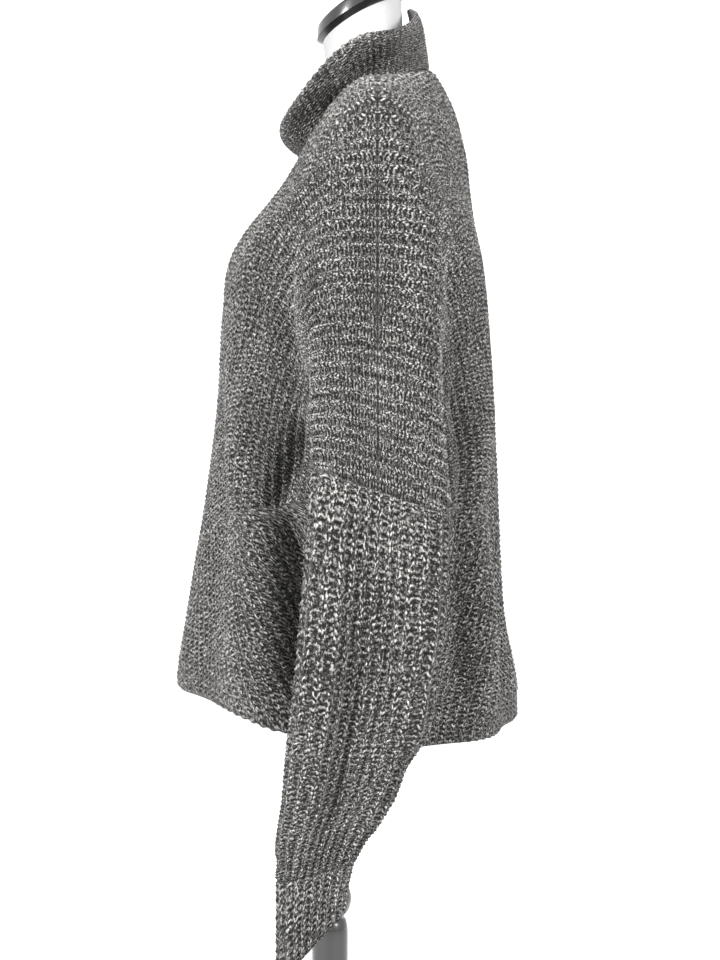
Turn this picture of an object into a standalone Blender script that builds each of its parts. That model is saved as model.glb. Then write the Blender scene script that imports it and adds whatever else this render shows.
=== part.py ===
"""Chunky rib-knit turtleneck sweater worn by a limbless dress form on a turned stand.

Units are metres, +Z is up, the wearer faces -Y and the wearer's left is +X.
The origin is on the floor, under the middle of the pole.

The cloth is worked out from its cut.  A panel lies flat first: x runs along the shoulder and
overarm line and y runs down the centre.  The ribs are the lines of equal x.  Rings then carry the
flat panel to its draped form: RINGS gives, for each ring, how far it lies from the centre in the
cut (reach, drop_front, drop_back) and where it hangs.  Above the armhole ring a section takes in
the body and the overarm lobe, parted by a cleft that deepens on the way down.  Below it the
panels close at the side seams and the sleeves hang by themselves.
"""
import math
from collections import namedtuple

import bmesh
import bpy
import numpy as np

# ---- cloth -----------------------------------------------------------------------------------
WALL = 0.0027            # thickness of the knit between the ribs
RIB_HEIGHT = 0.0021      # how far a rib stands above it
RIB_PITCH = 0.0178       # rib spacing in the cut panels
RIM_ANGLE = math.radians(60)   # edges sharper than this are not shaded smooth
SEAM_GAP = 0.0003        # gap between sewn pieces
SEAM_Y = 0.045           # plane of the shoulder, overarm and side seams
UNDERARM_X = 0.520       # where the armhole ends in the cut, from the centre
HEM_HALF_WIDTH = 0.385   # half width of the hem in the cut

Ring = namedtuple("Ring", "front_y front_z back_y back_z arm_x arm_z body_x cleft turn "
                          "reach drop_front drop_back power square late")
RINGS = [
    # front_y front_z back_y back_z arm_x  arm_z  body_x cleft turn  reach  drop_f drop_b power square late
    Ring(-0.028, 1.342, 0.100, 1.430, 0.084, 1.408, 0.084, 0.00, 1.0, 0.084, 0.085, 0.022, 2.00, 0.95, 1.5),
    Ring(-0.050, 1.312, 0.119, 1.396, 0.138, 1.393, 0.130, 0.00, 1.0, 0.142, 0.122, 0.061, 2.00, 1.30, 1.8),
    Ring(-0.084, 1.270, 0.131, 1.352, 0.189, 1.370, 0.165, 0.02, 1.0, 0.207, 0.177, 0.107, 2.00, 1.50, 2.2),
    Ring(-0.099, 1.234, 0.136, 1.306, 0.207, 1.330, 0.175, 0.08, 1.0, 0.249, 0.216, 0.153, 2.05, 1.35, 2.2),
    Ring(-0.101, 1.172, 0.145, 1.232, 0.219, 1.248, 0.182, 0.12, 1.0, 0.334, 0.278, 0.228, 2.15, 0.84, 1.5),
    Ring(-0.105, 1.105, 0.153, 1.150, 0.233, 1.155, 0.186, 0.30, 1.0, 0.430, 0.345, 0.310, 2.30, 0.84, 1.5),
    Ring(-0.112, 1.042, 0.156, 1.062, 0.246, 1.076, 0.189, 0.62, 1.0, 0.510, 0.409, 0.398, 2.45, 0.84, 1.5),
    Ring(-0.118, 0.985, 0.158, 0.985, 0.256, 1.020, 0.190, 1.00, 1.0, 0.568, 0.466, 0.475, 2.55, 0.84, 1.5),
    Ring(-0.125, 0.935, 0.162, 0.932, 0.256, 0.955, 0.193, 1.00, 0.4, 0.600, 0.517, 0.528, 2.60, 0.84, 1.5),
    Ring(-0.133, 0.885, 0.168, 0.880, 0.256, 0.890, 0.197, 1.00, 0.0, 0.640, 0.568, 0.580, 2.90, 0.84, 1.5),
    Ring(-0.140, 0.848, 0.175, 0.836, 0.256, 0.838, 0.201, 1.00, 0.0, 0.700, 0.607, 0.629, 3.60, 0.84, 2.6),
    Ring(-0.142, 0.830, 0.178, 0.801, 0.256, 0.797, 0.202, 1.00, 0.0, 0.800, 0.626, 0.667, 5.00, 0.84, 3.5),
]
NECK_RING = 0.0
RISE_RING = 3.0
ARMHOLE_RING = 7.0
HEM_RING = 11.0
TURN_RADIUS = 0.0125                          # of the turn from the body out to the overarm
ARMHOLE_SLANT = 0.35                          # how steeply the armhole falls towards the back
ARM_DEPTH = {"front": 0.051, "back": 0.056}   # half depth of the overarm lobe at the armhole
LOBE_SQUARE = 0.90                            # exponent of the overarm lobe's section

# A fold follows v from top to bottom: 0 is the centre line, 1 the side seam or the cleft.
Fold = namedtuple("Fold", "panel v_top v_bottom width depth_left depth_right first last")
FOLDS = [
    #    panel   v_top v_bot width  left    right  first last
    Fold("front", 0.18, 0.16, 0.11, 0.005, -0.004, 5.5, 12.0),
    Fold("front", 0.40, 0.40, 0.10, -0.008, 0.006, 4.0, 12.0),
    Fold("front", 0.60, 0.66, 0.11, 0.013, -0.007, 4.0, 12.0),
    Fold("front", 0.84, 0.88, 0.08, -0.007, 0.004, 7.0, 12.0),
    Fold("back", 0.20, 0.22, 0.12, 0.004, -0.006, 4.5, 12.0),
    Fold("back", 0.44, 0.40, 0.11, -0.007, 0.008, 4.0, 12.0),
    Fold("back", 0.60, 0.60, 0.11, 0.009, -0.008, 3.5, 12.0),
    Fold("back", 0.80, 0.82, 0.10, -0.009, 0.007, 5.5, 12.0),
]
OVERARM_VALLEY = 0.008       # depth of the trough along the overarm seam
OVERARM_VALLEY_WIDTH = 0.07  # its half width, as a share of the section

# ---- sleeves and cuffs -----------------------------------------------------------------------
SLEEVE_RIBS = 28
CUFF_RIBS = 24
SLEEVE_SQUARE_X = 0.80   # exponents of a sleeve's section
SLEEVE_SQUARE_Y = 0.75
VALLEY_WIDTH = 0.085     # half width of the sleeve's outer trough, as a share of the loop
SleeveRing = namedtuple("SleeveRing", "z front back inner outer slant valley")
SLEEVE_RINGS = [
    #          z      front   back   inner  outer  slant  valley
    SleeveRing(1.020, -0.006, 0.101, 0.217, 0.256, -ARMHOLE_SLANT, 0.008),
    SleeveRing(0.963, -0.011, 0.098, 0.218, 0.264, -0.20, 0.011),
    SleeveRing(0.905, -0.016, 0.095, 0.220, 0.268, -0.07, 0.014),
    SleeveRing(0.847, -0.022, 0.086, 0.222, 0.268, 0.00, 0.015),
    SleeveRing(0.803, -0.028, 0.074, 0.223, 0.266, 0.05, 0.013),
    SleeveRing(0.765, -0.032, 0.058, 0.224, 0.264, 0.12, 0.009),
    SleeveRing(0.732, -0.036, 0.036, 0.225, 0.262, 0.20, 0.005),
    SleeveRing(0.704, -0.036, 0.021, 0.226, 0.260, 0.28, 0.002),
]
ARMHOLE_MIDDLE = (SLEEVE_RINGS[0].front + SLEEVE_RINGS[0].back) / 2
CUFF_RINGS = [
    SleeveRing(0.7037, -0.036, 0.021, 0.226, 0.260, 0.28, 0.000),
    SleeveRing(0.672, -0.036, 0.016, 0.226, 0.260, 0.70, 0.000),
    SleeveRing(0.641, -0.036, 0.013, 0.225, 0.261, 1.10, 0.000),
]

# ---- collar ----------------------------------------------------------------------------------
COLLAR_RIBS = 38
COLLAR_WALL = 0.0030
# Meridians at stations from the centre front to the centre back, evenly spread along the neckline.
# Each gives the sewn edge, two handles and the rim as distances out from and up above the neckline.
Meridian = namedtuple("Meridian", "sewn_out sewn_up low_out low_up high_out high_up rim_out rim_up")
COLLAR_MERIDIANS = [
    Meridian(-0.0082, 0.0060, -0.003, 0.021, 0.042, 0.033, 0.000, 0.050),
    Meridian(-0.0085, 0.0068, -0.001, 0.019, 0.038, 0.031, 0.008, 0.038),
    Meridian(-0.0075, 0.0050, -0.007, 0.020, 0.022, 0.030, 0.010, 0.040),
    Meridian(-0.0065, 0.0045, -0.007, 0.022, 0.002, 0.039, -0.012, 0.056),
    Meridian(-0.0055, 0.0045, -0.006, 0.025, -0.013, 0.048, -0.023, 0.069),
]

# ---- dress form and stand --------------------------------------------------------------------
FormRing = namedtuple("FormRing", "z half_width front back")
FORM_RINGS = [
    #        z      half_width front   back
    FormRing(0.848, 0.154, -0.090, 0.130),
    FormRing(0.890, 0.158, -0.092, 0.132),
    FormRing(0.960, 0.150, -0.088, 0.128),
    FormRing(1.060, 0.135, -0.080, 0.118),
    FormRing(1.150, 0.146, -0.088, 0.124),
    FormRing(1.225, 0.150, -0.082, 0.127),
    FormRing(1.290, 0.152, -0.034, 0.120),
    FormRing(1.335, 0.158, 0.002, 0.112),
    FormRing(1.362, 0.147, 0.016, 0.102),
    FormRing(1.384, 0.112, 0.018, 0.092),
    FormRing(1.402, 0.072, 0.010, 0.084),
    FormRing(1.424, 0.048, 0.000, 0.077),
    FormRing(1.460, 0.043, -0.006, 0.073),
    FormRing(1.500, 0.042, -0.007, 0.071),
]
FORM_LEVELS = [0.848, 0.860, 0.90, 0.95, 1.00, 1.07, 1.14, 1.20, 1.25, 1.30, 1.335, 1.360, 1.380,
               1.395, 1.410, 1.428, 1.450]
FORM_CHAMFER = 0.012
FORM_SEGMENTS = 32
NECK_CUT_TILT = math.radians(28)
NECK_CUT_Z = 1.487
CAP_THICKNESS = 0.016
CAP_FLARE = 0.006
CAP_CROWN = 0.004        # how far the cap rises over its flat side
POLE_RADIUS = 0.0165
RING_RADIUS = 0.0215
BASE_RADIUS = 0.175
BASE_THICKNESS = 0.014
BASE_EDGE = 0.008        # bevel of the base's upper edge
STAND_GAP = 0.0003

BLACK = (0.012, 0.012, 0.013, 1.0)
WHITE = (0.86, 0.86, 0.85, 1.0)
YARN = (0.19, 0.185, 0.18, 1.0)


# ---- smooth tables ---------------------------------------------------------------------------
def smooth(values, level):
    """Catmull-Rom curve through values at level 0, 1, 2 and so on."""
    values = np.asarray(values, float)
    level = np.clip(np.asarray(level, float), 0, len(values) - 1)
    k = np.minimum(level.astype(int), len(values) - 2)
    s = level - k
    before = values[np.maximum(k - 1, 0)]
    start = values[k]
    end = values[k + 1]
    after = values[np.minimum(k + 2, len(values) - 1)]
    rise = (end - before) / 2
    leave = (after - start) / 2
    return (start * (1 + 2 * s) * (1 - s) ** 2 + rise * s * (1 - s) ** 2
            + end * s ** 2 * (3 - 2 * s) + leave * s ** 2 * (s - 1))


def ring_value(name, level):
    return smooth([getattr(ring, name) for ring in RINGS], level)


def round_value(values, station):
    """Smooth curve through values that mirrors itself at both ends."""
    return smooth([values[1], *values, values[-2]], np.asarray(station, float) + 1)


def ease(x):
    x = np.clip(x, 0, 1)
    return x * x * (3 - 2 * x)


def evenly(points, count):
    """The polyline sampled at count points, evenly along its length."""
    steps = np.linalg.norm(np.diff(points, axis=0), axis=1)
    length = np.concatenate([[0], np.cumsum(steps)])
    target = np.linspace(0, length[-1], count)
    return np.stack([np.interp(target, length, points[:, k]) for k in range(points.shape[1])], 1)


# ---- draped sections of the panels -----------------------------------------------------------
# In a section, x is the distance from the centre and e the distance from the seam plane.
ARC = np.linspace(0, math.pi / 2, 60)


def quarter(half_width, depth, squareness):
    return np.stack([half_width * np.sin(ARC) ** squareness, depth * np.cos(ARC) ** squareness], 1)


def body_arc(level, depth):
    """Centre line to the side seam, turning outward at its end towards the overarm."""
    angle = ARC * np.clip(ring_value("turn", level), 0, 1)
    half_width = ring_value("body_x", level)
    rise = TURN_RADIUS * math.sin(angle[-1])
    arc = quarter(half_width, depth - rise, ring_value("square", level))
    arc[:, 1] += rise
    turn = np.stack([half_width + TURN_RADIUS * (1 - np.cos(angle)), rise - TURN_RADIUS * np.sin(angle)], 1)
    return np.concatenate([arc, turn[1:] + np.arange(1, len(turn))[:, None] * 1e-9])


def arm_arc(level, panel):
    """Cleft to the overarm seam, round the front or the back of the overarm lobe."""
    start = ring_value("body_x", level) + TURN_RADIUS
    turn = np.stack([start + TURN_RADIUS * np.sin(ARC), TURN_RADIUS * (1 - np.cos(ARC))], 1)
    half_turn = np.linspace(0, math.pi, 90)
    inner = start + TURN_RADIUS
    outer = ring_value("arm_x", level)
    middle = (inner + outer) / 2
    cos = np.cos(half_turn)
    lobe_x = middle - (outer - inner) / 2 * np.sign(cos) * np.abs(cos) ** LOBE_SQUARE
    lobe_e = ARM_DEPTH[panel] * np.sin(half_turn) ** LOBE_SQUARE + TURN_RADIUS * np.cos(half_turn / 2) ** 8
    return np.concatenate([turn[:-1], np.stack([lobe_x, lobe_e], 1)])


class Panel:
    """Maps a point of the flat front or back panel to its place on the draped body."""

    V_STEPS = 121
    LEVELS_PER_RING = 16

    def __init__(self, panel):
        self.panel = panel
        self.sign = -1 if panel == "front" else 1
        self.drop = "drop_" + panel
        self.underarm_y = self.ring_y(UNDERARM_X, ARMHOLE_RING)
        self.split = self.share(UNDERARM_X, self.underarm_y, ARMHOLE_RING)
        self.find_side_seam()
        self.upper = self.sections(NECK_RING, ARMHOLE_RING, self.upper_section)
        self.lower = self.sections(ARMHOLE_RING, HEM_RING, self.lower_section)

    # the cut
    def ring_y(self, x, level):
        reach = ring_value("reach", level)
        power = ring_value("power", level)
        return ring_value(self.drop, level) * np.maximum(1 - (x / reach) ** power, 0) ** (1 / power)

    def share(self, x, y, level):
        """0 at the centre line, 1 at the overarm line."""
        across = x / ring_value("reach", level)
        down = y / ring_value(self.drop, level)
        return np.arctan2(across, down) * 2 / math.pi

    def level_of(self, x, y):
        low = np.full(np.shape(x), NECK_RING)
        high = np.full(np.shape(x), HEM_RING)
        for _ in range(30):
            middle = (low + high) / 2
            power = ring_value("power", middle)
            outside = ((x / ring_value("reach", middle)) ** power
                       + (y / ring_value(self.drop, middle)) ** power) > 1
            low = np.where(outside, middle, low)
            high = np.where(outside, high, middle)
        return (low + high) / 2

    def find_side_seam(self):
        hem_y = self.ring_y(HEM_HALF_WIDTH, HEM_RING)
        s = np.linspace(0, 1, 80)
        self.seam_x = UNDERARM_X + (HEM_HALF_WIDTH - UNDERARM_X) * s
        self.seam_y = self.underarm_y + (hem_y - self.underarm_y) * s
        self.seam_level = self.level_of(self.seam_x, self.seam_y)
        self.seam_level[0] = ARMHOLE_RING
        self.seam_level[-1] = HEM_RING
        self.seam_share = self.share(self.seam_x, self.seam_y, self.seam_level)

    def column(self, q, rows):
        """Flat points of the column at share q of the panel's half width, top to bottom."""
        x_low = q * UNDERARM_X
        neck = ring_value("reach", NECK_RING)
        top = self.ring_y(q * ring_value("reach", ARMHOLE_RING), NECK_RING) if x_low < neck else 0.0
        if x_low <= HEM_HALF_WIDTH:
            bottom = self.ring_y(x_low, HEM_RING)
        else:
            bottom = np.interp(x_low, self.seam_x[::-1], self.seam_y[::-1])
        y = top + (bottom - top) * rows
        return q * self.edge_x(y), y

    def edge_x(self, y):
        """The armhole edge above the underarm, and its lowest x below it."""
        drop = ring_value(self.drop, ARMHOLE_RING)
        power = ring_value("power", ARMHOLE_RING)
        inside = np.minimum(y / drop, 1)
        x = ring_value("reach", ARMHOLE_RING) * (1 - inside ** power) ** (1 / power)
        return np.where(y < self.underarm_y, np.maximum(x, UNDERARM_X), UNDERARM_X)

    # the drape
    def upper_section(self, level):
        depth = abs(ring_value(self.panel + "_y", level) - SEAM_Y)
        body = evenly(body_arc(level, depth), self.V_STEPS)
        arm = evenly(arm_arc(level, self.panel), self.V_STEPS)
        plain = quarter(ring_value("arm_x", level), depth, ring_value("square", level))
        u = np.linspace(0, 1, 2 * self.V_STEPS)
        parted_u = np.concatenate([np.linspace(0, self.split, self.V_STEPS),
                                   np.linspace(self.split, 1, self.V_STEPS)[1:]])
        parted_points = np.concatenate([body, arm[1:]])
        parted = np.stack([np.interp(u, parted_u, parted_points[:, k]) for k in range(2)], 1)
        plan = evenly(plain, len(u)) * (1 - ring_value("cleft", level)) + parted * ring_value("cleft", level)
        v = u / self.split
        return self.lift(plan, v, level)

    def lower_section(self, level):
        depth = abs(ring_value(self.panel + "_y", level) - SEAM_Y)
        plan = evenly(body_arc(level, depth), 2 * self.V_STEPS)
        return self.lift(plan, np.linspace(0, 1, 2 * self.V_STEPS), level)

    def lift(self, plan, v, level):
        centre_z = ring_value(self.panel + "_z", level)
        side_z = ring_value("arm_z", level)
        # near the neck a section rises all the way to the overarm line, lower down to the cleft
        reach = self.split + (1 - self.split) * ease(level - RISE_RING)
        z = centre_z + (side_z - centre_z) * ease(v * reach) ** ring_value("late", level)
        sides = []
        tilt = ARMHOLE_SLANT * ease((v - 1) / 0.25) * ease((level - 3.5) / 3.5) * (level <= ARMHOLE_RING)
        for side in ("depth_left", "depth_right"):
            push = np.zeros(len(v))
            for fold in FOLDS:
                if fold.panel == self.panel:
                    push += self.fold_push(fold, side, v, level)
            valley = np.exp(-((v * self.split - 1) / OVERARM_VALLEY_WIDTH) ** 2)
            push -= OVERARM_VALLEY * valley * ease((level - 2) / 2) * (level <= ARMHOLE_RING)
            tangent = np.gradient(plan, axis=0)
            tangent /= np.linalg.norm(tangent, axis=1)[:, None] + 1e-12
            normal = np.stack([-tangent[:, 1], tangent[:, 0]], 1)
            moved = plan + normal * push[:, None]
            y = SEAM_Y + self.sign * moved[:, 1]
            sides.append(np.stack([moved[:, 0], y, z - tilt * (y - ARMHOLE_MIDDLE)], 1))
        return np.stack(sides)

    @staticmethod
    def fold_push(fold, side, v, level):
        along = (level - fold.first) / (HEM_RING - fold.first)
        centre = fold.v_top + (fold.v_bottom - fold.v_top) * ease(along)
        strength = ease((level - fold.first) / 2.5) * ease((fold.last - level) / 2)
        keep_edges = ease(v / 0.1) * ease((1 - v) / 0.2)
        return getattr(fold, side) * strength * keep_edges * np.exp(-((v - centre) / fold.width) ** 2)

    def sections(self, first, last, section):
        count = int((last - first) * self.LEVELS_PER_RING) + 1
        return np.stack([section(level) for level in np.linspace(first, last, count)], 1)

    def place(self, x, y, at_seam=False):
        """Draped place and outward normal of flat points, x being negative on the right side."""
        half = np.abs(x)
        level = self.level_of(half, y)
        share = self.share(half, y, level)
        end = np.interp(level, self.seam_level, self.seam_share)
        low = level > ARMHOLE_RING + 1e-6
        across = np.where(low, share / end, share)
        if at_seam:
            across = np.ones_like(across)
        side = (x < 0).astype(int)
        step = 1e-3
        point = self.look_up(level, across, low, side)
        down = (self.look_up(level + step, across, low, side)
                - self.look_up(level - step, across, low, side))
        out = (self.look_up(level, across + step, low, side)
               - self.look_up(level, across - step, low, side))
        normal = -self.sign * np.cross(down, out)
        normal /= np.linalg.norm(normal, axis=1)[:, None]
        mirror = np.where(x < 0, -1.0, 1.0)
        point[:, 0] *= mirror
        normal[:, 0] *= mirror
        return point, normal

    def look_up(self, level, across, low, side):
        result = np.empty(level.shape + (3,))
        for table, first, chosen in ((self.upper, NECK_RING, ~low), (self.lower, ARMHOLE_RING, low)):
            if not chosen.any():
                continue
            rows = table.shape[1] - 1
            columns = table.shape[2] - 1
            r = np.clip((level[chosen] - first) * self.LEVELS_PER_RING, 0, rows)
            c = np.clip(across[chosen] * columns, 0, columns)
            r0 = np.minimum(r.astype(int), rows - 1)
            c0 = np.minimum(c.astype(int), columns - 1)
            fr = (r - r0)[:, None]
            fc = (c - c0)[:, None]
            s = side[chosen]
            result[chosen] = ((table[s, r0, c0] * (1 - fc) + table[s, r0, c0 + 1] * fc) * (1 - fr)
                              + (table[s, r0 + 1, c0] * (1 - fc) + table[s, r0 + 1, c0 + 1] * fc) * fr)
        return result


# ---- mesh building ---------------------------------------------------------------------------
class Shell:
    """A wall: a finely ribbed outer grid, a plain inner grid and the rims between them."""

    def __init__(self):
        self.points = []
        self.faces = []

    def add(self, points):
        first = len(self.points)
        self.points.extend(map(tuple, points))
        return list(range(first, first + len(points)))

    def strip(self, line_a, keys_a, line_b, keys_b):
        """Triangles between two lines of points whose keys rise together."""
        i = 0
        j = 0
        while i < len(line_a) - 1 or j < len(line_b) - 1:
            can_a = i < len(line_a) - 1
            can_b = j < len(line_b) - 1
            if can_a and (not can_b or keys_a[i + 1] <= keys_b[j + 1] + 1e-9):
                self.faces.append((line_a[i], line_b[j], line_a[i + 1]))
                i += 1
            else:
                self.faces.append((line_a[i], line_b[j], line_b[j + 1]))
                j += 1

    def build(self, name, colour):
        mesh = bpy.data.meshes.new(name)
        mesh.from_pydata(self.points, [], self.faces)
        work = bmesh.new()
        work.from_mesh(mesh)
        bmesh.ops.recalc_face_normals(work, faces=work.faces)
        if work.calc_volume(signed=True) < 0:
            bmesh.ops.reverse_faces(work, faces=work.faces)
        work.to_mesh(mesh)
        work.free()
        mesh.shade_smooth()
        mesh.set_sharp_from_angle(angle=RIM_ANGLE)
        return add_object(name, mesh, colour, 0.95)


def add_object(name, mesh, colour, roughness, metallic=0.0):
    obj = bpy.data.objects.new(name, mesh)
    COLLECTION.objects.link(obj)
    material = bpy.data.materials.new(name + "_finish")
    material.use_nodes = True
    shader = material.node_tree.nodes["Principled BSDF"]
    shader.inputs["Base Color"].default_value = colour
    shader.inputs["Roughness"].default_value = roughness
    shader.inputs["Metallic"].default_value = metallic
    mesh.materials.clear()
    mesh.materials.append(material)
    return obj


# ---- front and back panels -------------------------------------------------------------------
PANEL_ROWS = 10
TIGHT_COLUMN = 54        # past this one the inner wall is as fine as the outer
EDGE_BLEND_COLUMNS = 5    # over this many the wall turns square to the armhole's edge
SEAM_ROLL_COLUMNS = 6     # over this many the wall thins towards the armhole
SEAM_ROLL_SHARE = 0.65    # of its thickness that is left at the armhole
TURN_WEIGHT = 0.08       # metres of plain length that one radian of bending counts for
HALF_COLUMNS = 2 * round(ring_value("reach", ARMHOLE_RING) / RIB_PITCH)   # two columns to a rib


def bend_rows(cloth, q, side):
    """Shares down a column where its rows lie: close together where the cloth bends."""
    dense = np.linspace(0, 1, 161)
    x, y = cloth.column(q, dense)
    path = cloth.place(x * side, y)[0]
    step = np.diff(path, axis=0)
    length = np.linalg.norm(step, axis=1)
    heading = step / (length[:, None] + 1e-9)
    turn = np.linalg.norm(np.diff(heading, axis=0), axis=1)
    weight = length.copy()
    weight[1:] += TURN_WEIGHT * turn / 2
    weight[:-1] += TURN_WEIGHT * turn / 2
    travelled = np.concatenate([[0], np.cumsum(weight)])
    return np.interp(np.linspace(0, travelled[-1], PANEL_ROWS + 1), travelled, dense)


def panel_column(cloth, index, outer):
    """Points of one column of the outer or inner wall, moved clear of the seams."""
    q = index / HALF_COLUMNS
    side = 1 if q >= 0 else -1
    x, y = cloth.column(abs(q), bend_rows(cloth, abs(q), side))
    point, normal = cloth.place(x * side, y)
    ends_at_seam = abs(q) * UNDERARM_X > HEM_HALF_WIDTH
    starts_at_seam = y[0] == 0
    near_edge = max(0.0, 1 - (HALF_COLUMNS - abs(index)) / EDGE_BLEND_COLUMNS)
    normal += near_edge * (flatten_to_slant(normal, -ARMHOLE_SLANT) - normal)
    normal /= np.linalg.norm(normal, axis=1)[:, None]
    if abs(index) == HALF_COLUMNS:
        height = SLEEVE_RINGS[0].z + SEAM_GAP
        point[:, 2] = height - ARMHOLE_SLANT * (point[:, 1] - ARMHOLE_MIDDLE)
    if starts_at_seam:
        set_on_seam(cloth, point, normal, 0)
    if ends_at_seam:
        if abs(index) < HALF_COLUMNS:
            seam_point, seam_normal = cloth.place(x[-1:] * side, y[-1:], at_seam=True)
            point[-1] = seam_point[0]
            normal[-1] = seam_normal[0]
        set_on_seam(cloth, point, normal, -1)
    thickness = 0.0
    if outer:
        from_edge = (HALF_COLUMNS - abs(index)) / SEAM_ROLL_COLUMNS
        rib = RIB_HEIGHT if index % 2 == 0 else 0.0
        thickness = (WALL + rib) * (SEAM_ROLL_SHARE + (1 - SEAM_ROLL_SHARE) * ease(from_edge))
    moved = point + normal * thickness
    limit = SEAM_Y + cloth.sign * SEAM_GAP / 2
    beyond = (moved[:, 1] - limit) * cloth.sign < 0
    moved[beyond, 1] = limit
    return moved


def flatten_to_slant(normal, slant):
    """Normals turned into the plane whose height rises by slant for each metre of Y."""
    axis = np.array([0, -slant, 1]) / math.hypot(slant, 1)
    normal = normal - (normal @ axis)[:, None] * axis
    return normal / np.linalg.norm(normal, axis=1)[:, None]


def set_on_seam(cloth, point, normal, row):
    point[row, 1] = SEAM_Y + cloth.sign * SEAM_GAP / 2
    if normal[row, 1] * cloth.sign < 0 or abs(normal[row, 1]) < 0.5:
        normal[row, 1] = 0
        normal[row] /= np.linalg.norm(normal[row])


def make_panel(panel):
    cloth = CLOTH[panel]
    shell = Shell()
    outer_index = list(range(-HALF_COLUMNS, HALF_COLUMNS + 1))
    inner_index = [i for i in outer_index if i % 2 == 0 or abs(i) > TIGHT_COLUMN]
    outer = [shell.add(panel_column(cloth, i, True)) for i in outer_index]
    inner = [shell.add(panel_column(cloth, i, False)) for i in inner_index]
    rows = list(range(PANEL_ROWS + 1))
    for columns in (outer, inner):
        for a, b in zip(columns[:-1], columns[1:]):
            shell.strip(a, rows, b, rows)
    for row in (0, -1):
        shell.strip([c[row] for c in outer], outer_index, [c[row] for c in inner], inner_index)
    for column in (0, -1):
        shell.strip(outer[column], rows, inner[column], rows)
    return shell.build(panel + "_panel", YARN)


# ---- tubes: sleeves, cuffs and collar --------------------------------------------------------
def make_tube(name, ribs, rows, place, flip, wall=WALL):
    """A closed ring wall; place(loop share, row share) gives points and outward normals."""
    shell = Shell()
    columns = 2 * ribs
    share = np.arange(columns) / columns
    height = wall + np.where(np.arange(columns) % 2 == 0, RIB_HEIGHT, 0.0)
    mirror = np.array([-1, 1, 1]) if flip else np.ones(3)
    outer = []
    inner = []
    for row in rows:
        point, normal = place(share, row)
        line = shell.add((point + normal * height[:, None]) * mirror)
        outer.append(line + line[:1])
        line = shell.add(point[::2] * mirror)
        inner.append(line + line[:1])
    outer_keys = list(range(columns + 1))
    inner_keys = outer_keys[::2]
    for lines, keys in ((outer, outer_keys), (inner, inner_keys)):
        for a, b in zip(lines[:-1], lines[1:]):
            shell.strip(a, keys, b, keys)
    for row in (0, -1):
        shell.strip(outer[row], outer_keys, inner[row], inner_keys)
    return shell.build(name, YARN)


def tube_normals(loop_at, share, row, step=2e-3):
    """Outward normals of a surface whose loops run from the inside over the front."""
    around = loop_at(share + step, row) - loop_at(share - step, row)
    along = loop_at(share, min(row + step, 1)) - loop_at(share, max(row - step, 0))
    normal = np.cross(along, around)
    return normal / np.linalg.norm(normal, axis=1)[:, None]


def sleeve_loop(rings, share, row):
    """Loop of the left sleeve: share 0 at the underarm, 1/4 front, 1/2 outside, 3/4 back."""
    level = row * (len(rings) - 1)
    value = {name: smooth([getattr(ring, name) for ring in rings], level)
             for name in SleeveRing._fields}
    angle = 2 * math.pi * np.asarray(share)
    middle_x = (value["inner"] + value["outer"]) / 2
    half_x = (value["outer"] - value["inner"]) / 2
    middle_y = (value["front"] + value["back"]) / 2
    half_y = (value["back"] - value["front"]) / 2
    cos = np.cos(angle)
    sin = np.sin(angle)
    x = middle_x - half_x * np.sign(cos) * np.abs(cos) ** SLEEVE_SQUARE_X
    y = middle_y - half_y * np.sign(sin) * np.abs(sin) ** SLEEVE_SQUARE_Y
    outside = np.exp(-((np.mod(share, 1) - 0.5) / VALLEY_WIDTH) ** 2)
    x = x - value["valley"] * outside
    z = value["z"] + value["slant"] * (y - middle_y)
    return np.stack([x, y, z], 1)


def make_sleeve_part(name, rings, ribs, row_count, flip):
    loops = evenly_spaced_loops(rings)

    def place(share, row):
        normal = tube_normals(loops, share, row)
        if row in (0.0, 1.0):
            normal = flatten_to_slant(normal, rings[int(row) * (len(rings) - 1)].slant)
        return loops(share, row), normal

    return make_tube(name, ribs, np.linspace(0, 1, row_count + 1), place, flip)


def evenly_spaced_loops(rings, steps=240):
    """Sleeve loops with their points spread evenly along the loop's length."""
    cache = {}

    def loops(share, row):
        key = round(float(row), 6)
        if key not in cache:
            points = sleeve_loop(rings, np.arange(steps + 1) / steps, row)
            lengths = np.linalg.norm(np.diff(points, axis=0), axis=1)
            cache[key] = (points, np.concatenate([[0], np.cumsum(lengths)]) / lengths.sum())
        points, length = cache[key]
        wanted = np.mod(share, 1)
        return np.stack([np.interp(wanted, length, points[:, k]) for k in range(3)], 1)

    return loops


def neckline(share):
    """Neck edge of the panels: share 0 at the centre front, 1/4 left side, 1/2 back."""
    turn = np.mod(share, 1)
    half = np.minimum(turn, 1 - turn)
    u = np.where(half < 0.25, half, 0.5 - half) * 4
    place = np.empty((len(u), 3))
    for cloth, chosen in ((CLOTH["front"], half < 0.25), (CLOTH["back"], half >= 0.25)):
        edge = cloth.upper[0, 0]
        steps = np.linspace(0, 1, len(edge))
        for k in range(3):
            place[chosen, k] = np.interp(u[chosen], steps, edge[:, k])
    place[:, 0] *= np.where(turn > 0.5, -1, 1)
    return place


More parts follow.
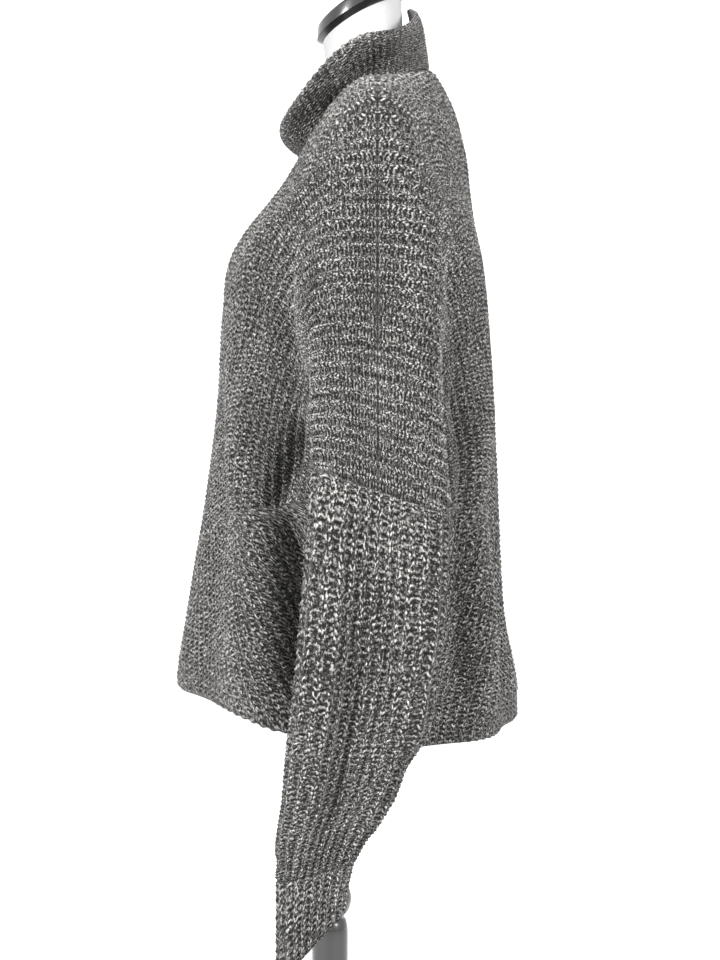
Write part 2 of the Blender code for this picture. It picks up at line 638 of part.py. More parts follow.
def collar_loop(share, row):
    """Loop of the collar at a row from its sewn edge, 0, to its rim, 1."""
    edge = neckline(share)
    radius = np.hypot(edge[:, 0], edge[:, 1] - SEAM_Y)
    station = 2 * np.minimum(np.mod(share, 1), 1 - np.mod(share, 1)) * (len(COLLAR_MERIDIANS) - 1)
    t = float(row)
    weights = ((1 - t) ** 3, 3 * t * (1 - t) ** 2, 3 * t * t * (1 - t), t ** 3)
    out = np.zeros(len(edge))
    up = np.zeros(len(edge))
    for weight, key in zip(weights, ("sewn", "low", "high", "rim")):
        out += weight * round_value([getattr(m, key + "_out") for m in COLLAR_MERIDIANS], station)
        up += weight * round_value([getattr(m, key + "_up") for m in COLLAR_MERIDIANS], station)
    moved = edge.copy()
    moved[:, 0] *= 1 + out / radius
    moved[:, 1] = SEAM_Y + (edge[:, 1] - SEAM_Y) * (1 + out / radius)
    moved[:, 2] += up
    return moved


def make_collar():
    def place(share, row):
        return collar_loop(share, row), -tube_normals(collar_loop, share, row)

    return make_tube("collar", COLLAR_RIBS, np.linspace(0, 1, 9), place, False, COLLAR_WALL)


# ---- dress form and stand --------------------------------------------------------------------
def form_value(name, z):
    return smooth([getattr(ring, name) for ring in FORM_RINGS],
                  np.interp(z, [ring.z for ring in FORM_RINGS], range(len(FORM_RINGS))))


def form_loop(z, segments=FORM_SEGMENTS, swell=0.0):
    angle = np.arange(segments) * 2 * math.pi / segments
    front = form_value("front", z)
    back = form_value("back", z)
    middle = (front + back) / 2
    x = (form_value("half_width", z) + swell) * np.sin(angle)
    y = middle - ((back - front) / 2 + swell) * np.cos(angle)
    return np.stack([x, y, np.full(segments, float(z))], 1)


def tilt_to_cut(points, height):
    """Lift a level loop onto the slanted cut of the neck, height above it."""
    centre = form_loop(NECK_CUT_Z).mean(0)
    lifted = points.copy()
    lifted[:, 2] = NECK_CUT_Z + height + (points[:, 1] - centre[1]) * math.tan(NECK_CUT_TILT)
    return lifted


def solid_of_loops(name, loops, colour, roughness):
    work = bmesh.new()
    rings = [[work.verts.new(p) for p in loop] for loop in loops]
    for low, high in zip(rings[:-1], rings[1:]):
        for i in range(len(low)):
            j = (i + 1) % len(low)
            work.faces.new((low[i], low[j], high[j], high[i]))
    work.faces.new(list(reversed(rings[0])))
    work.faces.new(rings[-1])
    bmesh.ops.recalc_face_normals(work, faces=work.faces)
    mesh = bpy.data.meshes.new(name)
    work.to_mesh(mesh)
    work.free()
    mesh.shade_smooth()
    mesh.set_sharp_from_angle(angle=math.radians(40))
    return add_object(name, mesh, colour, roughness)


def make_form():
    loops = [form_loop(FORM_LEVELS[0], swell=-FORM_CHAMFER)]
    loops += [form_loop(z) for z in FORM_LEVELS[1:]]
    loops.append(tilt_to_cut(form_loop(NECK_CUT_Z), 0.0))
    return solid_of_loops("form_torso", loops, WHITE, 0.75)


def make_cap():
    loops = []
    profile = ((STAND_GAP, 0.0), (CAP_FLARE, CAP_FLARE), (CAP_THICKNESS, CAP_FLARE),
               (CAP_THICKNESS + CAP_CROWN, 0.0))
    for height, swell in profile:
        loops.append(tilt_to_cut(form_loop(NECK_CUT_Z, swell=swell), height))
    return solid_of_loops("neck_cap", loops, BLACK, 0.35)


def turned(name, profile, segments, colour, roughness):
    """A solid turned about Z; the profile runs down its outer side, axis to axis."""
    mesh = bpy.data.meshes.new(name)
    mesh.from_pydata([(r, 0, z) for r, z in profile], [(i, i + 1) for i in range(len(profile) - 1)], [])
    obj = add_object(name, mesh, colour, roughness)
    screw = obj.modifiers.new("turn", "SCREW")
    screw.steps = segments
    screw.render_steps = segments
    screw.use_merge_vertices = True
    screw.merge_threshold = 0.0001
    return obj


def make_pole():
    top = FORM_RINGS[0].z - STAND_GAP
    bottom = BASE_THICKNESS + STAND_GAP
    profile = [
        (0.0, top),
        (POLE_RADIUS, top),
        (POLE_RADIUS, 0.640),
        (POLE_RADIUS * 0.90, 0.632),
        (RING_RADIUS * 0.90, 0.622),
        (RING_RADIUS, 0.612),
        (RING_RADIUS * 0.90, 0.602),
        (POLE_RADIUS * 0.88, 0.594),
        (POLE_RADIUS * 1.04, 0.586),
        (POLE_RADIUS * 1.10, 0.550),
        (POLE_RADIUS * 0.95, 0.300),
        (POLE_RADIUS * 1.25, 0.080),
        (POLE_RADIUS * 1.9, 0.045),
        (POLE_RADIUS * 2.1, bottom),
        (0.0, bottom),
    ]
    return turned("stand_pole", profile, 20, BLACK, 0.3)


def make_base():
    profile = [
        (0.0, BASE_THICKNESS),
        (BASE_RADIUS - BASE_EDGE, BASE_THICKNESS),
        (BASE_RADIUS, BASE_THICKNESS - BASE_EDGE),
        (BASE_RADIUS, 0.0),
        (0.0, 0.0),
    ]
    return turned("stand_base", profile, 32, BLACK, 0.35)


def main():
    for obj in list(bpy.data.objects):
        bpy.data.objects.remove(obj)
    bpy.context.scene.collection.children.link(COLLECTION)
    make_panel("front")
    make_panel("back")
    for side, flip in (("left", False), ("right", True)):
        make_sleeve_part("sleeve_" + side, SLEEVE_RINGS, SLEEVE_RIBS, 9, flip)
        make_sleeve_part("cuff_" + side, CUFF_RINGS, CUFF_RIBS, 3, flip)
    make_collar()
    make_form()
    make_cap()
    make_pole()
    make_base()


COLLECTION = bpy.data.collections.new("chunky_turtleneck_sweater")
CLOTH = {"front": Panel("front"), "back": Panel("back")}
main()
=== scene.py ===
"""Looks of a chunky rib-knit turtleneck sweater worn by a limbless dress form on a turned stand.

Units are metres, +Z is up, the wearer faces -Y and the wearer's left is +X.  The cloth is mapped
from its flat cut by the same formulas as its solids, on grids that follow the ribs and courses of
the knit, so that ribs, knit columns and purl rungs are raised in the mesh itself.
"""

import math
from collections import namedtuple

import bmesh
import bpy
import numpy as np
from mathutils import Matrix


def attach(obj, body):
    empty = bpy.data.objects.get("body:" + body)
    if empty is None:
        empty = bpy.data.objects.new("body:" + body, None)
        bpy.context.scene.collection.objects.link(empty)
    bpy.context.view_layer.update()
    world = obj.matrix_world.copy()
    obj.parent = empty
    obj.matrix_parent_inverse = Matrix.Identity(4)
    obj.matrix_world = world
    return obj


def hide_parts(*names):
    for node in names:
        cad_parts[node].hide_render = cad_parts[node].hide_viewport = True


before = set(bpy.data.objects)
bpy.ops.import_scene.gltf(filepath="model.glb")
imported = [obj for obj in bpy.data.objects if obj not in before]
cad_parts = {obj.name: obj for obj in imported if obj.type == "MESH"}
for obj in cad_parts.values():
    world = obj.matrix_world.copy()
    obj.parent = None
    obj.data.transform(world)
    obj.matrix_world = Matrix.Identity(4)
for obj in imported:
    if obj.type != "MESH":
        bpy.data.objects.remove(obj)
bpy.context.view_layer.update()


# ---- cloth ----
WALL = 0.0027            # thickness of the knit between the ribs
SEAM_GAP = 0.0003        # gap between sewn pieces
SEAM_Y = 0.045           # plane of the shoulder, overarm and side seams
UNDERARM_X = 0.520       # where the armhole ends in the cut, from the centre
HEM_HALF_WIDTH = 0.385   # half width of the hem in the cut

Ring = namedtuple("Ring", "front_y front_z back_y back_z arm_x arm_z body_x cleft turn "
                          "reach drop_front drop_back power square late")
RINGS = [
    # front_y front_z back_y back_z arm_x  arm_z  body_x cleft turn  reach  drop_f drop_b power square late
    Ring(-0.028, 1.342, 0.100, 1.430, 0.084, 1.408, 0.084, 0.00, 1.0, 0.084, 0.085, 0.022, 2.00, 0.95, 1.5),
    Ring(-0.050, 1.312, 0.119, 1.396, 0.138, 1.393, 0.130, 0.00, 1.0, 0.142, 0.122, 0.061, 2.00, 1.30, 1.8),
    Ring(-0.084, 1.270, 0.131, 1.352, 0.189, 1.370, 0.165, 0.02, 1.0, 0.207, 0.177, 0.107, 2.00, 1.50, 2.2),
    Ring(-0.099, 1.234, 0.136, 1.306, 0.207, 1.330, 0.175, 0.08, 1.0, 0.249, 0.216, 0.153, 2.05, 1.35, 2.2),
    Ring(-0.101, 1.172, 0.145, 1.232, 0.219, 1.248, 0.182, 0.12, 1.0, 0.334, 0.278, 0.228, 2.15, 0.84, 1.5),
    Ring(-0.105, 1.105, 0.153, 1.150, 0.233, 1.155, 0.186, 0.30, 1.0, 0.430, 0.345, 0.310, 2.30, 0.84, 1.5),
    Ring(-0.112, 1.042, 0.156, 1.062, 0.246, 1.076, 0.189, 0.62, 1.0, 0.510, 0.409, 0.398, 2.45, 0.84, 1.5),
    Ring(-0.118, 0.985, 0.158, 0.985, 0.256, 1.020, 0.190, 1.00, 1.0, 0.568, 0.466, 0.475, 2.55, 0.84, 1.5),
    Ring(-0.125, 0.935, 0.162, 0.932, 0.256, 0.955, 0.193, 1.00, 0.4, 0.600, 0.517, 0.528, 2.60, 0.84, 1.5),
    Ring(-0.133, 0.885, 0.168, 0.880, 0.256, 0.890, 0.197, 1.00, 0.0, 0.640, 0.568, 0.580, 2.90, 0.84, 1.5),
    Ring(-0.140, 0.848, 0.175, 0.836, 0.256, 0.838, 0.201, 1.00, 0.0, 0.700, 0.607, 0.629, 3.60, 0.84, 2.6),
    Ring(-0.142, 0.830, 0.178, 0.801, 0.256, 0.797, 0.202, 1.00, 0.0, 0.800, 0.626, 0.667, 5.00, 0.84, 3.5),
]
NECK_RING = 0.0
RISE_RING = 3.0
ARMHOLE_RING = 7.0
HEM_RING = 11.0
TURN_RADIUS = 0.0125                          # of the turn from the body out to the overarm
ARMHOLE_SLANT = 0.35                          # how steeply the armhole falls towards the back
ARM_DEPTH = {"front": 0.051, "back": 0.056}   # half depth of the overarm lobe at the armhole
LOBE_SQUARE = 0.90                            # exponent of the overarm lobe's section
LOBE_BLEND = 8                                # how soon the lobe leaves the turn beside it
ARC_STEPS = 60                                # points on a quarter of a section
LOBE_STEPS = 90                               # points round the overarm lobe
SEAM_STEPS = 80                               # points along the side seam
LOOP_STEPS = 240                              # points round a sleeve's loop
MEASURE_STEPS = 200                           # steps in which a cut is measured

# A fold follows v from top to bottom: 0 is the centre line, 1 the side seam or the cleft.
Fold = namedtuple("Fold", "panel v_top v_bottom width depth_left depth_right first last")
FOLDS = [
    #    panel   v_top v_bot width  left    right  first last
    Fold("front", 0.18, 0.16, 0.11, 0.005, -0.004, 5.5, 12.0),
    Fold("front", 0.40, 0.40, 0.10, -0.008, 0.006, 4.0, 12.0),
    Fold("front", 0.60, 0.66, 0.11, 0.013, -0.007, 4.0, 12.0),
    Fold("front", 0.84, 0.88, 0.08, -0.007, 0.004, 7.0, 12.0),
    Fold("back", 0.20, 0.22, 0.12, 0.004, -0.006, 4.5, 12.0),
    Fold("back", 0.44, 0.40, 0.11, -0.007, 0.008, 4.0, 12.0),
    Fold("back", 0.60, 0.60, 0.11, 0.009, -0.008, 3.5, 12.0),
    Fold("back", 0.80, 0.82, 0.10, -0.009, 0.007, 5.5, 12.0),
]
OVERARM_VALLEY = 0.008       # depth of the trough along the overarm seam
OVERARM_VALLEY_WIDTH = 0.07  # its half width, as a share of the section
VALLEY_FIRST = 2.0           # ring at which it starts
VALLEY_GROWTH = 2.0          # rings over which it deepens
FOLD_GROWTH = 2.5            # rings over which a fold deepens
FOLD_FADE = 2.0              # rings over which it would fade at its last ring
FOLD_CENTRE_FADE = 0.1       # share of the section over which folds fade at the centre line
FOLD_SIDE_FADE = 0.2         # the same at the side
SLANT_FIRST = 3.5            # ring at which the overarm starts to slant to the armhole
SLANT_GROWTH = 3.5           # rings over which the slant grows
SLANT_WIDTH = 0.25           # share of the section over which it sets in beside the cleft

# ---- sleeves and cuffs ----
SLEEVE_SQUARE_X = 0.80   # exponents of a sleeve's section
SLEEVE_SQUARE_Y = 0.75
VALLEY_WIDTH = 0.085     # half width of the sleeve's outer trough, as a share of the loop
SleeveRing = namedtuple("SleeveRing", "z front back inner outer slant valley")
SLEEVE_RINGS = [
    #          z      front   back   inner  outer  slant  valley
    SleeveRing(1.020, -0.006, 0.101, 0.217, 0.256, -ARMHOLE_SLANT, 0.008),
    SleeveRing(0.963, -0.011, 0.098, 0.218, 0.264, -0.20, 0.011),
    SleeveRing(0.905, -0.016, 0.095, 0.220, 0.268, -0.07, 0.014),
    SleeveRing(0.847, -0.022, 0.086, 0.222, 0.268, 0.00, 0.015),
    SleeveRing(0.803, -0.028, 0.074, 0.223, 0.266, 0.05, 0.013),
    SleeveRing(0.765, -0.032, 0.058, 0.224, 0.264, 0.12, 0.009),
    SleeveRing(0.732, -0.036, 0.036, 0.225, 0.262, 0.20, 0.005),
    SleeveRing(0.704, -0.036, 0.021, 0.226, 0.260, 0.28, 0.002),
]
ARMHOLE_MIDDLE = (SLEEVE_RINGS[0].front + SLEEVE_RINGS[0].back) / 2
CUFF_RINGS = [
    SleeveRing(0.7037, -0.036, 0.021, 0.226, 0.260, 0.28, 0.000),
    SleeveRing(0.672, -0.036, 0.016, 0.226, 0.260, 0.70, 0.000),
    SleeveRing(0.641, -0.036, 0.013, 0.225, 0.261, 1.10, 0.000),
]

# ---- collar ----
COLLAR_WALL = 0.0030     # thickness of the collar between its ribs
# Meridians at stations from the centre front to the centre back, evenly spread along the neckline.
# Each gives the sewn edge, two handles and the rim as distances out from and up above the neckline.
Meridian = namedtuple("Meridian", "sewn_out sewn_up low_out low_up high_out high_up rim_out rim_up")
COLLAR_MERIDIANS = [
    Meridian(-0.0082, 0.0060, -0.003, 0.021, 0.042, 0.033, 0.000, 0.050),
    Meridian(-0.0085, 0.0068, -0.001, 0.019, 0.038, 0.031, 0.008, 0.038),
    Meridian(-0.0075, 0.0050, -0.007, 0.020, 0.022, 0.030, 0.010, 0.040),
    Meridian(-0.0065, 0.0045, -0.007, 0.022, 0.002, 0.039, -0.012, 0.056),
    Meridian(-0.0055, 0.0045, -0.006, 0.025, -0.013, 0.048, -0.023, 0.069),
]

# ---- dress form and stand ----
FormRing = namedtuple("FormRing", "z half_width front back")
FORM_RINGS = [
    #        z      half_width front   back
    FormRing(0.848, 0.154, -0.090, 0.130),
    FormRing(0.890, 0.158, -0.092, 0.132),
    FormRing(0.960, 0.150, -0.088, 0.128),
    FormRing(1.060, 0.135, -0.080, 0.118),
    FormRing(1.150, 0.146, -0.088, 0.124),
    FormRing(1.225, 0.150, -0.082, 0.127),
    FormRing(1.290, 0.152, -0.034, 0.120),
    FormRing(1.335, 0.158, 0.002, 0.112),
    FormRing(1.362, 0.147, 0.016, 0.102),
    FormRing(1.384, 0.112, 0.018, 0.092),
    FormRing(1.402, 0.072, 0.010, 0.084),
    FormRing(1.424, 0.048, 0.000, 0.077),
    FormRing(1.460, 0.043, -0.006, 0.073),
    FormRing(1.500, 0.042, -0.007, 0.071),
]
NECK_CUT_TILT = math.radians(28)   # slant of the neck's cut, which rises to the back
NECK_CUT_Z = 1.487       # its height at the middle
CAP_THICKNESS = 0.016
CAP_FLARE = 0.006        # how far the cap's edge stands out
CAP_FOOT = 0.006         # height over which it swells to that edge
CAP_CROWN = 0.004        # how far the cap rises over its flat side
POLE_RADIUS = 0.0165
RING_RADIUS = 0.0215     # of the turned ring on the pole
BASE_RADIUS = 0.175
BASE_THICKNESS = 0.014
BASE_EDGE = 0.008        # rounding of the base's upper edge
STAND_GAP = 0.0003       # gap between the parts of the stand

# Outline of the pole from the base up, with a turned ring at the middle.
PolePoint = namedtuple("PolePoint", "radius z")
POLE_POINTS = [
    PolePoint(POLE_RADIUS * 2.10, BASE_THICKNESS + STAND_GAP),
    PolePoint(POLE_RADIUS * 1.90, 0.045),
    PolePoint(POLE_RADIUS * 1.25, 0.080),
    PolePoint(POLE_RADIUS * 0.95, 0.300),
    PolePoint(POLE_RADIUS * 1.10, 0.550),
    PolePoint(POLE_RADIUS * 1.04, 0.586),
    PolePoint(POLE_RADIUS * 0.88, 0.594),
    PolePoint(RING_RADIUS * 0.90, 0.602),
    PolePoint(RING_RADIUS, 0.612),
    PolePoint(RING_RADIUS * 0.90, 0.622),
    PolePoint(POLE_RADIUS * 0.90, 0.632),
    PolePoint(POLE_RADIUS, 0.640),
    PolePoint(POLE_RADIUS, 0.740),
    PolePoint(POLE_RADIUS, FORM_RINGS[0].z - STAND_GAP),
]

# ---- knit ----
RIB = 0.0122             # rib spacing of the panels in the cut
COURSE = 0.0050          # height of one row of stitches
RELIEF = 0.0024          # how far a rib stands above the purl ground
INSIDE_RELIEF = 0.0018   # how far the ribs draw the inside out
STITCH = 0.0007          # how far a stitch bulges
WANDER = 0.00022         # uneven hand of the yarn
EDGE_ROLL = 0.0045       # width over which an open edge rolls in
SEAM_DIP = 0.010         # width over which a seam pulls the cloth in
EDGE_TURN = 0.040        # width over which the wall turns square to the armhole's edge
SEAM_LEAST = 0.55        # share of the wall's thickness that is left at a seam
NECK_LEAST = 0.60        # the same at the neck
HEM_LEAST = 0.35         # the same at the hem
OVERARM_START = 0.0004   # distance from the overarm seam that its first row counts as
CREASE_FADE = 0.03       # width over which creases and the inside's ribs fade at the side
INSIDE_FADE = 0.02       # width over which the inside's ribs fade at the other edges
CREASE_END = 0.35        # share of a crease's length over which it fades at each end
CREASE_START = 0.3       # how far on that fade the crease begins
DENT_FADE = 0.06         # share of a tube's length over which dents fade at its edges
INSIDE_SHADE = 0.3       # relief that the yarn's colour reads on the inside, which paints the inside darker as shade
HEM_BAND = 0.028         # height of the fine hem rib
HEM_CHANGE = 0.008       # height over which the ribs change into it
HEM_LOSS = 0.55          # share of a rib's height that the hem rib takes away
HEM_GAIN = 0.20          # share of a rib's height that it adds, at twice as many ribs
HEM_BEND = 8             # how late the rows bend to follow the hem
RIB_SQUARE = 1.7         # how square a rib's section is
COLUMN_ROOM = 0.35       # least room beside the end of a row, in columns
INNER_ROWS = 4           # rows of the outer wall for each row of the inner
COURSE_ROWS = 3          # rows of a tube's wall for each course
SEED = 7

# Soft creases of the panels, from one point of the cut to another: a trough where depth is
# negative and a ridge where it is positive.
Crease = namedtuple("Crease", "panel x_from y_from x_to y_to width depth")
CREASES = [
    Crease("front", 0.290, 0.090, 0.440, 0.300, 0.022, -0.0070),
    Crease("front", 0.435, 0.260, 0.375, 0.470, 0.019, -0.0180),
    Crease("front", 0.395, 0.420, 0.300, 0.610, 0.019, -0.0170),
    Crease("front", 0.320, 0.270, 0.345, 0.480, 0.024, 0.0060),
    Crease("front", 0.345, 0.430, 0.265, 0.640, 0.023, 0.0060),
    Crease("front", 0.240, 0.048, 0.500, 0.050, 0.018, 0.0032),
    Crease("front", 0.250, 0.120, 0.330, 0.260, 0.024, -0.0030),
    Crease("front", -0.470, 0.240, -0.380, 0.430, 0.021, -0.0090),
    Crease("front", -0.400, 0.400, -0.320, 0.600, 0.022, -0.0080),
    Crease("front", -0.330, 0.300, -0.270, 0.620, 0.026, 0.0060),
    Crease("front", -0.260, 0.130, -0.330, 0.270, 0.022, -0.0045),
    Crease("front", 0.090, 0.120, 0.200, 0.200, 0.020, -0.0030),
    Crease("front", -0.080, 0.300, -0.120, 0.560, 0.030, 0.0040),
    Crease("back", 0.375, 0.240, 0.375, 0.430, 0.021, -0.0125),
    Crease("back", 0.385, 0.370, 0.275, 0.640, 0.021, -0.0160),
    Crease("back", 0.300, 0.280, 0.230, 0.630, 0.026, 0.0045),
    Crease("back", 0.240, 0.052, 0.500, 0.056, 0.018, 0.0030),
    Crease("back", 0.330, 0.100, 0.375, 0.280, 0.022, -0.0050),
    Crease("back", -0.360, 0.250, -0.385, 0.440, 0.021, -0.0085),
    Crease("back", -0.390, 0.390, -0.290, 0.640, 0.023, -0.0090),
    Crease("back", -0.220, 0.080, -0.300, 0.230, 0.024, -0.0040),
    Crease("back", -0.150, 0.420, -0.190, 0.610, 0.028, 0.0048),
    Crease("back", 0.060, 0.340, 0.090, 0.600, 0.030, -0.0040),
]

# Soft dents and swells of the tubes: share round the loop and down it, half widths, and lean.
Dent = namedtuple("Dent", "around down wide long lean depth")
SLEEVE_DENTS = [
    Dent(0.48, 0.60, 0.040, 0.28, 0.06, -0.0095),
    Dent(0.37, 0.25, 0.045, 0.30, 0.02, 0.0040),
    Dent(0.62, 0.25, 0.050, 0.30, -0.02, 0.0035),
    Dent(0.40, 0.72, 0.040, 0.14, 0.03, 0.0030),
    Dent(0.70, 0.50, 0.060, 0.07, 0.10, 0.0045),
    Dent(0.72, 0.64, 0.060, 0.06, 0.12, -0.0040),
    Dent(0.68, 0.82, 0.055, 0.06, 0.10, 0.0040),
    Dent(0.30, 0.93, 0.060, 0.03, 0.02, -0.0035),
    Dent(0.20, 0.70, 0.060, 0.10, -0.05, -0.0030),
    Dent(0.05, 0.40, 0.060, 0.14, 0.04, 0.0022),
]
COLLAR_DENTS = [
    Dent(0.325, 0.55, 0.018, 0.50, 0.03, -0.0042),
    Dent(0.675, 0.60, 0.020, 0.45, -0.03, -0.0036),
    Dent(0.100, 0.45, 0.035, 0.22, 0.04, -0.0026),
    Dent(0.880, 0.40, 0.040, 0.20, -0.05, -0.0028),
    Dent(0.200, 0.55, 0.045, 0.25, -0.02, 0.0026),
    Dent(0.790, 0.50, 0.045, 0.25, 0.02, 0.0022),
]

# Tubes: ribs round, columns of points to a rib, courses down, the wall between the ribs, a rib's
# height as a share of RELIEF, the share of the wall left at the first and the last row, and dents.
Tube = namedtuple("Tube", "ribs per_rib courses wall rib_share first_least last_least dents")
SLEEVE = Tube(26, 8, 65, WALL, 1.00, 0.6, 0.5, SLEEVE_DENTS)
CUFF = Tube(22, 8, 13, WALL, 0.75, 0.5, 0.4, [])
COLLAR = Tube(80, 6, 22, COLLAR_WALL, 0.55, 0.6, 0.4, COLLAR_DENTS)

# ---- looks ----
# Stops of a colour ramp: place, brightness, and how much redder than blue the grey is.
Stop = namedtuple("Stop", "place grey warmth")
MARL = [Stop(0.40, 0.004, 1.00), Stop(0.48, 0.040, 1.02), Stop(0.56, 0.200, 1.03), Stop(0.65, 0.780, 1.04)]
JERSEY = [Stop(0.0, 0.80, 1.000), Stop(1.0, 0.84, 1.004)]
LACQUER = [Stop(0.35, 0.010, 1.00), Stop(0.70, 0.020, 1.02)]
FLECK = 2.7              # size of a fleck of fibre, in millimetres
PEPPER = 0.85            # contrast that the finest flecks add
PATCHES = 0.12           # contrast of broad paler and darker places
STRAND_CREST_HIGHLIGHT = 0.07     # painted highlight and shade: how much paler the flecks are on a strand's crest, and darker between strands
VALLEY_PAINTED_SHADE = 0.46       # painted shade: how dark the colour is on the purl ground, where the rib is lowest
RIB_PAINTED_LIGHT = 0.56          # painted light that the rib's height adds to it
GAP_PAINTED_SHADE = 0.78          # painted shade between two strands
STRAND_PAINTED_LIGHT = 0.30       # painted light that the strand's height adds to it
PLY_HEIGHT = 0.10        # height of the twisted plies, as a share of the strand's
FUZZ_HEIGHT = 0.45       # height of the fuzz, as a share of the strand's
LEG_SLOPE = 1.6          # courses that a knit leg climbs over one rib
RUNG_ARCH = -0.12        # how far a purl rung arches, in courses
JERSEY_GAUGE = 0.0016    # size of a stitch of the form's jersey cover
FINE_RIB_MM = 6.3        # rib spacing of the collar, in millimetres
JERSEY_RADIUS = 0.16     # radius at which the form's stitches have their true width
SHARP_ANGLE = math.radians(40)
FORM_ROUNDING = 0.012    # rounding of the form's lower edge
FORM_SIDE = np.linspace(0.868, 1.45, 70)   # heights of the form's loops above that edge
FINE_SEGMENTS = 96       # points round a loop of the form, the cap and the stand

# ---- studio ----
CAMERA_DISTANCE = 1.5    # from the origin along +X
VIEW_HEIGHT = 0.96       # metres seen from top to bottom at the origin
LOOK_AT = (0.0, 0.030, 1.030)
FLOOR_HALF = 9.0
FLOOR_GLOW = 1.0
BACKDROP_RADIUS = 8.0
BACKDROP_HEIGHT = 9.0
BACKDROP_SIDES = 48
BACKDROP_GLOW = 1.1
WORLD_STRENGTH = 0.20
STUDIO_WHITE = 0.93
SENSOR_WIDTH = 36.0
Light = namedtuple("Light", "name place size power")
LIGHTS = [
    Light("front side", (2.1, -2.3, 2.1), 1.1, 122.0),
    Light("back side", (2.3, 2.4, 1.9), 1.1, 92.0),
    Light("top", (0.9, 0.1, 3.2), 1.5, 22.0),
    Light("behind", (-2.4, 0.4, 2.4), 2.0, 40.0),
]


# ---- smooth tables ----
def smooth(values, level):
    """Catmull-Rom curve through values at level 0, 1, 2 and so on."""
    values = np.asarray(values, float)
    level = np.clip(np.asarray(level, float), 0, len(values) - 1)
    k = np.minimum(level.astype(int), len(values) - 2)
    s = level - k
    before = values[np.maximum(k - 1, 0)]
    start = values[k]
    end = values[k + 1]
    after = values[np.minimum(k + 2, len(values) - 1)]
    rise = (end - before) / 2
    leave = (after - start) / 2
    return (start * (1 + 2 * s) * (1 - s) ** 2 + rise * s * (1 - s) ** 2
            + end * s ** 2 * (3 - 2 * s) + leave * s ** 2 * (s - 1))


def ring_value(name, level):
    return smooth([getattr(ring, name) for ring in RINGS], level)


def round_value(values, station):
    """Smooth curve through values that mirrors itself at both ends."""
    return smooth([values[1], *values, values[-2]], np.asarray(station, float) + 1)


def ease(x):
    x = np.clip(x, 0, 1)
    return x * x * (3 - 2 * x)


def unit(vectors):
    return vectors / np.linalg.norm(vectors, axis=1)[:, None]


def evenly(points, count):
    """The polyline sampled at count points, evenly along its length."""
    steps = np.linalg.norm(np.diff(points, axis=0), axis=1)
    length = np.concatenate([[0], np.cumsum(steps)])
    target = np.linspace(0, length[-1], count)
    return np.stack([np.interp(target, length, points[:, k]) for k in range(points.shape[1])], 1)


# ---- draped sections of the panels ----
# In a section, x is the distance from the centre and e the distance from the seam plane.
ARC = np.linspace(0, math.pi / 2, ARC_STEPS)


def quarter(half_width, depth, squareness):
    return np.stack([half_width * np.sin(ARC) ** squareness, depth * np.cos(ARC) ** squareness], 1)


def body_arc(level, depth):
    """Centre line to the side seam, turning outward at its end towards the overarm."""
    angle = ARC * np.clip(ring_value("turn", level), 0, 1)
    half_width = ring_value("body_x", level)
    rise = TURN_RADIUS * math.sin(angle[-1])
    arc = quarter(half_width, depth - rise, ring_value("square", level))
    arc[:, 1] += rise
    turn = np.stack([half_width + TURN_RADIUS * (1 - np.cos(angle)), rise - TURN_RADIUS * np.sin(angle)], 1)
    return np.concatenate([arc, turn[1:] + np.arange(1, len(turn))[:, None] * 1e-9])


def arm_arc(level, panel):
    """Cleft to the overarm seam, round the front or the back of the overarm lobe."""
    start = ring_value("body_x", level) + TURN_RADIUS
    turn = np.stack([start + TURN_RADIUS * np.sin(ARC), TURN_RADIUS * (1 - np.cos(ARC))], 1)
    half_turn = np.linspace(0, math.pi, LOBE_STEPS)
    inner = start + TURN_RADIUS
    outer = ring_value("arm_x", level)
    middle = (inner + outer) / 2
    cos = np.cos(half_turn)
    lobe_x = middle - (outer - inner) / 2 * np.sign(cos) * np.abs(cos) ** LOBE_SQUARE
    lobe_e = ARM_DEPTH[panel] * np.sin(half_turn) ** LOBE_SQUARE
    lobe_e += TURN_RADIUS * np.cos(half_turn / 2) ** LOBE_BLEND
    return np.concatenate([turn[:-1], np.stack([lobe_x, lobe_e], 1)])


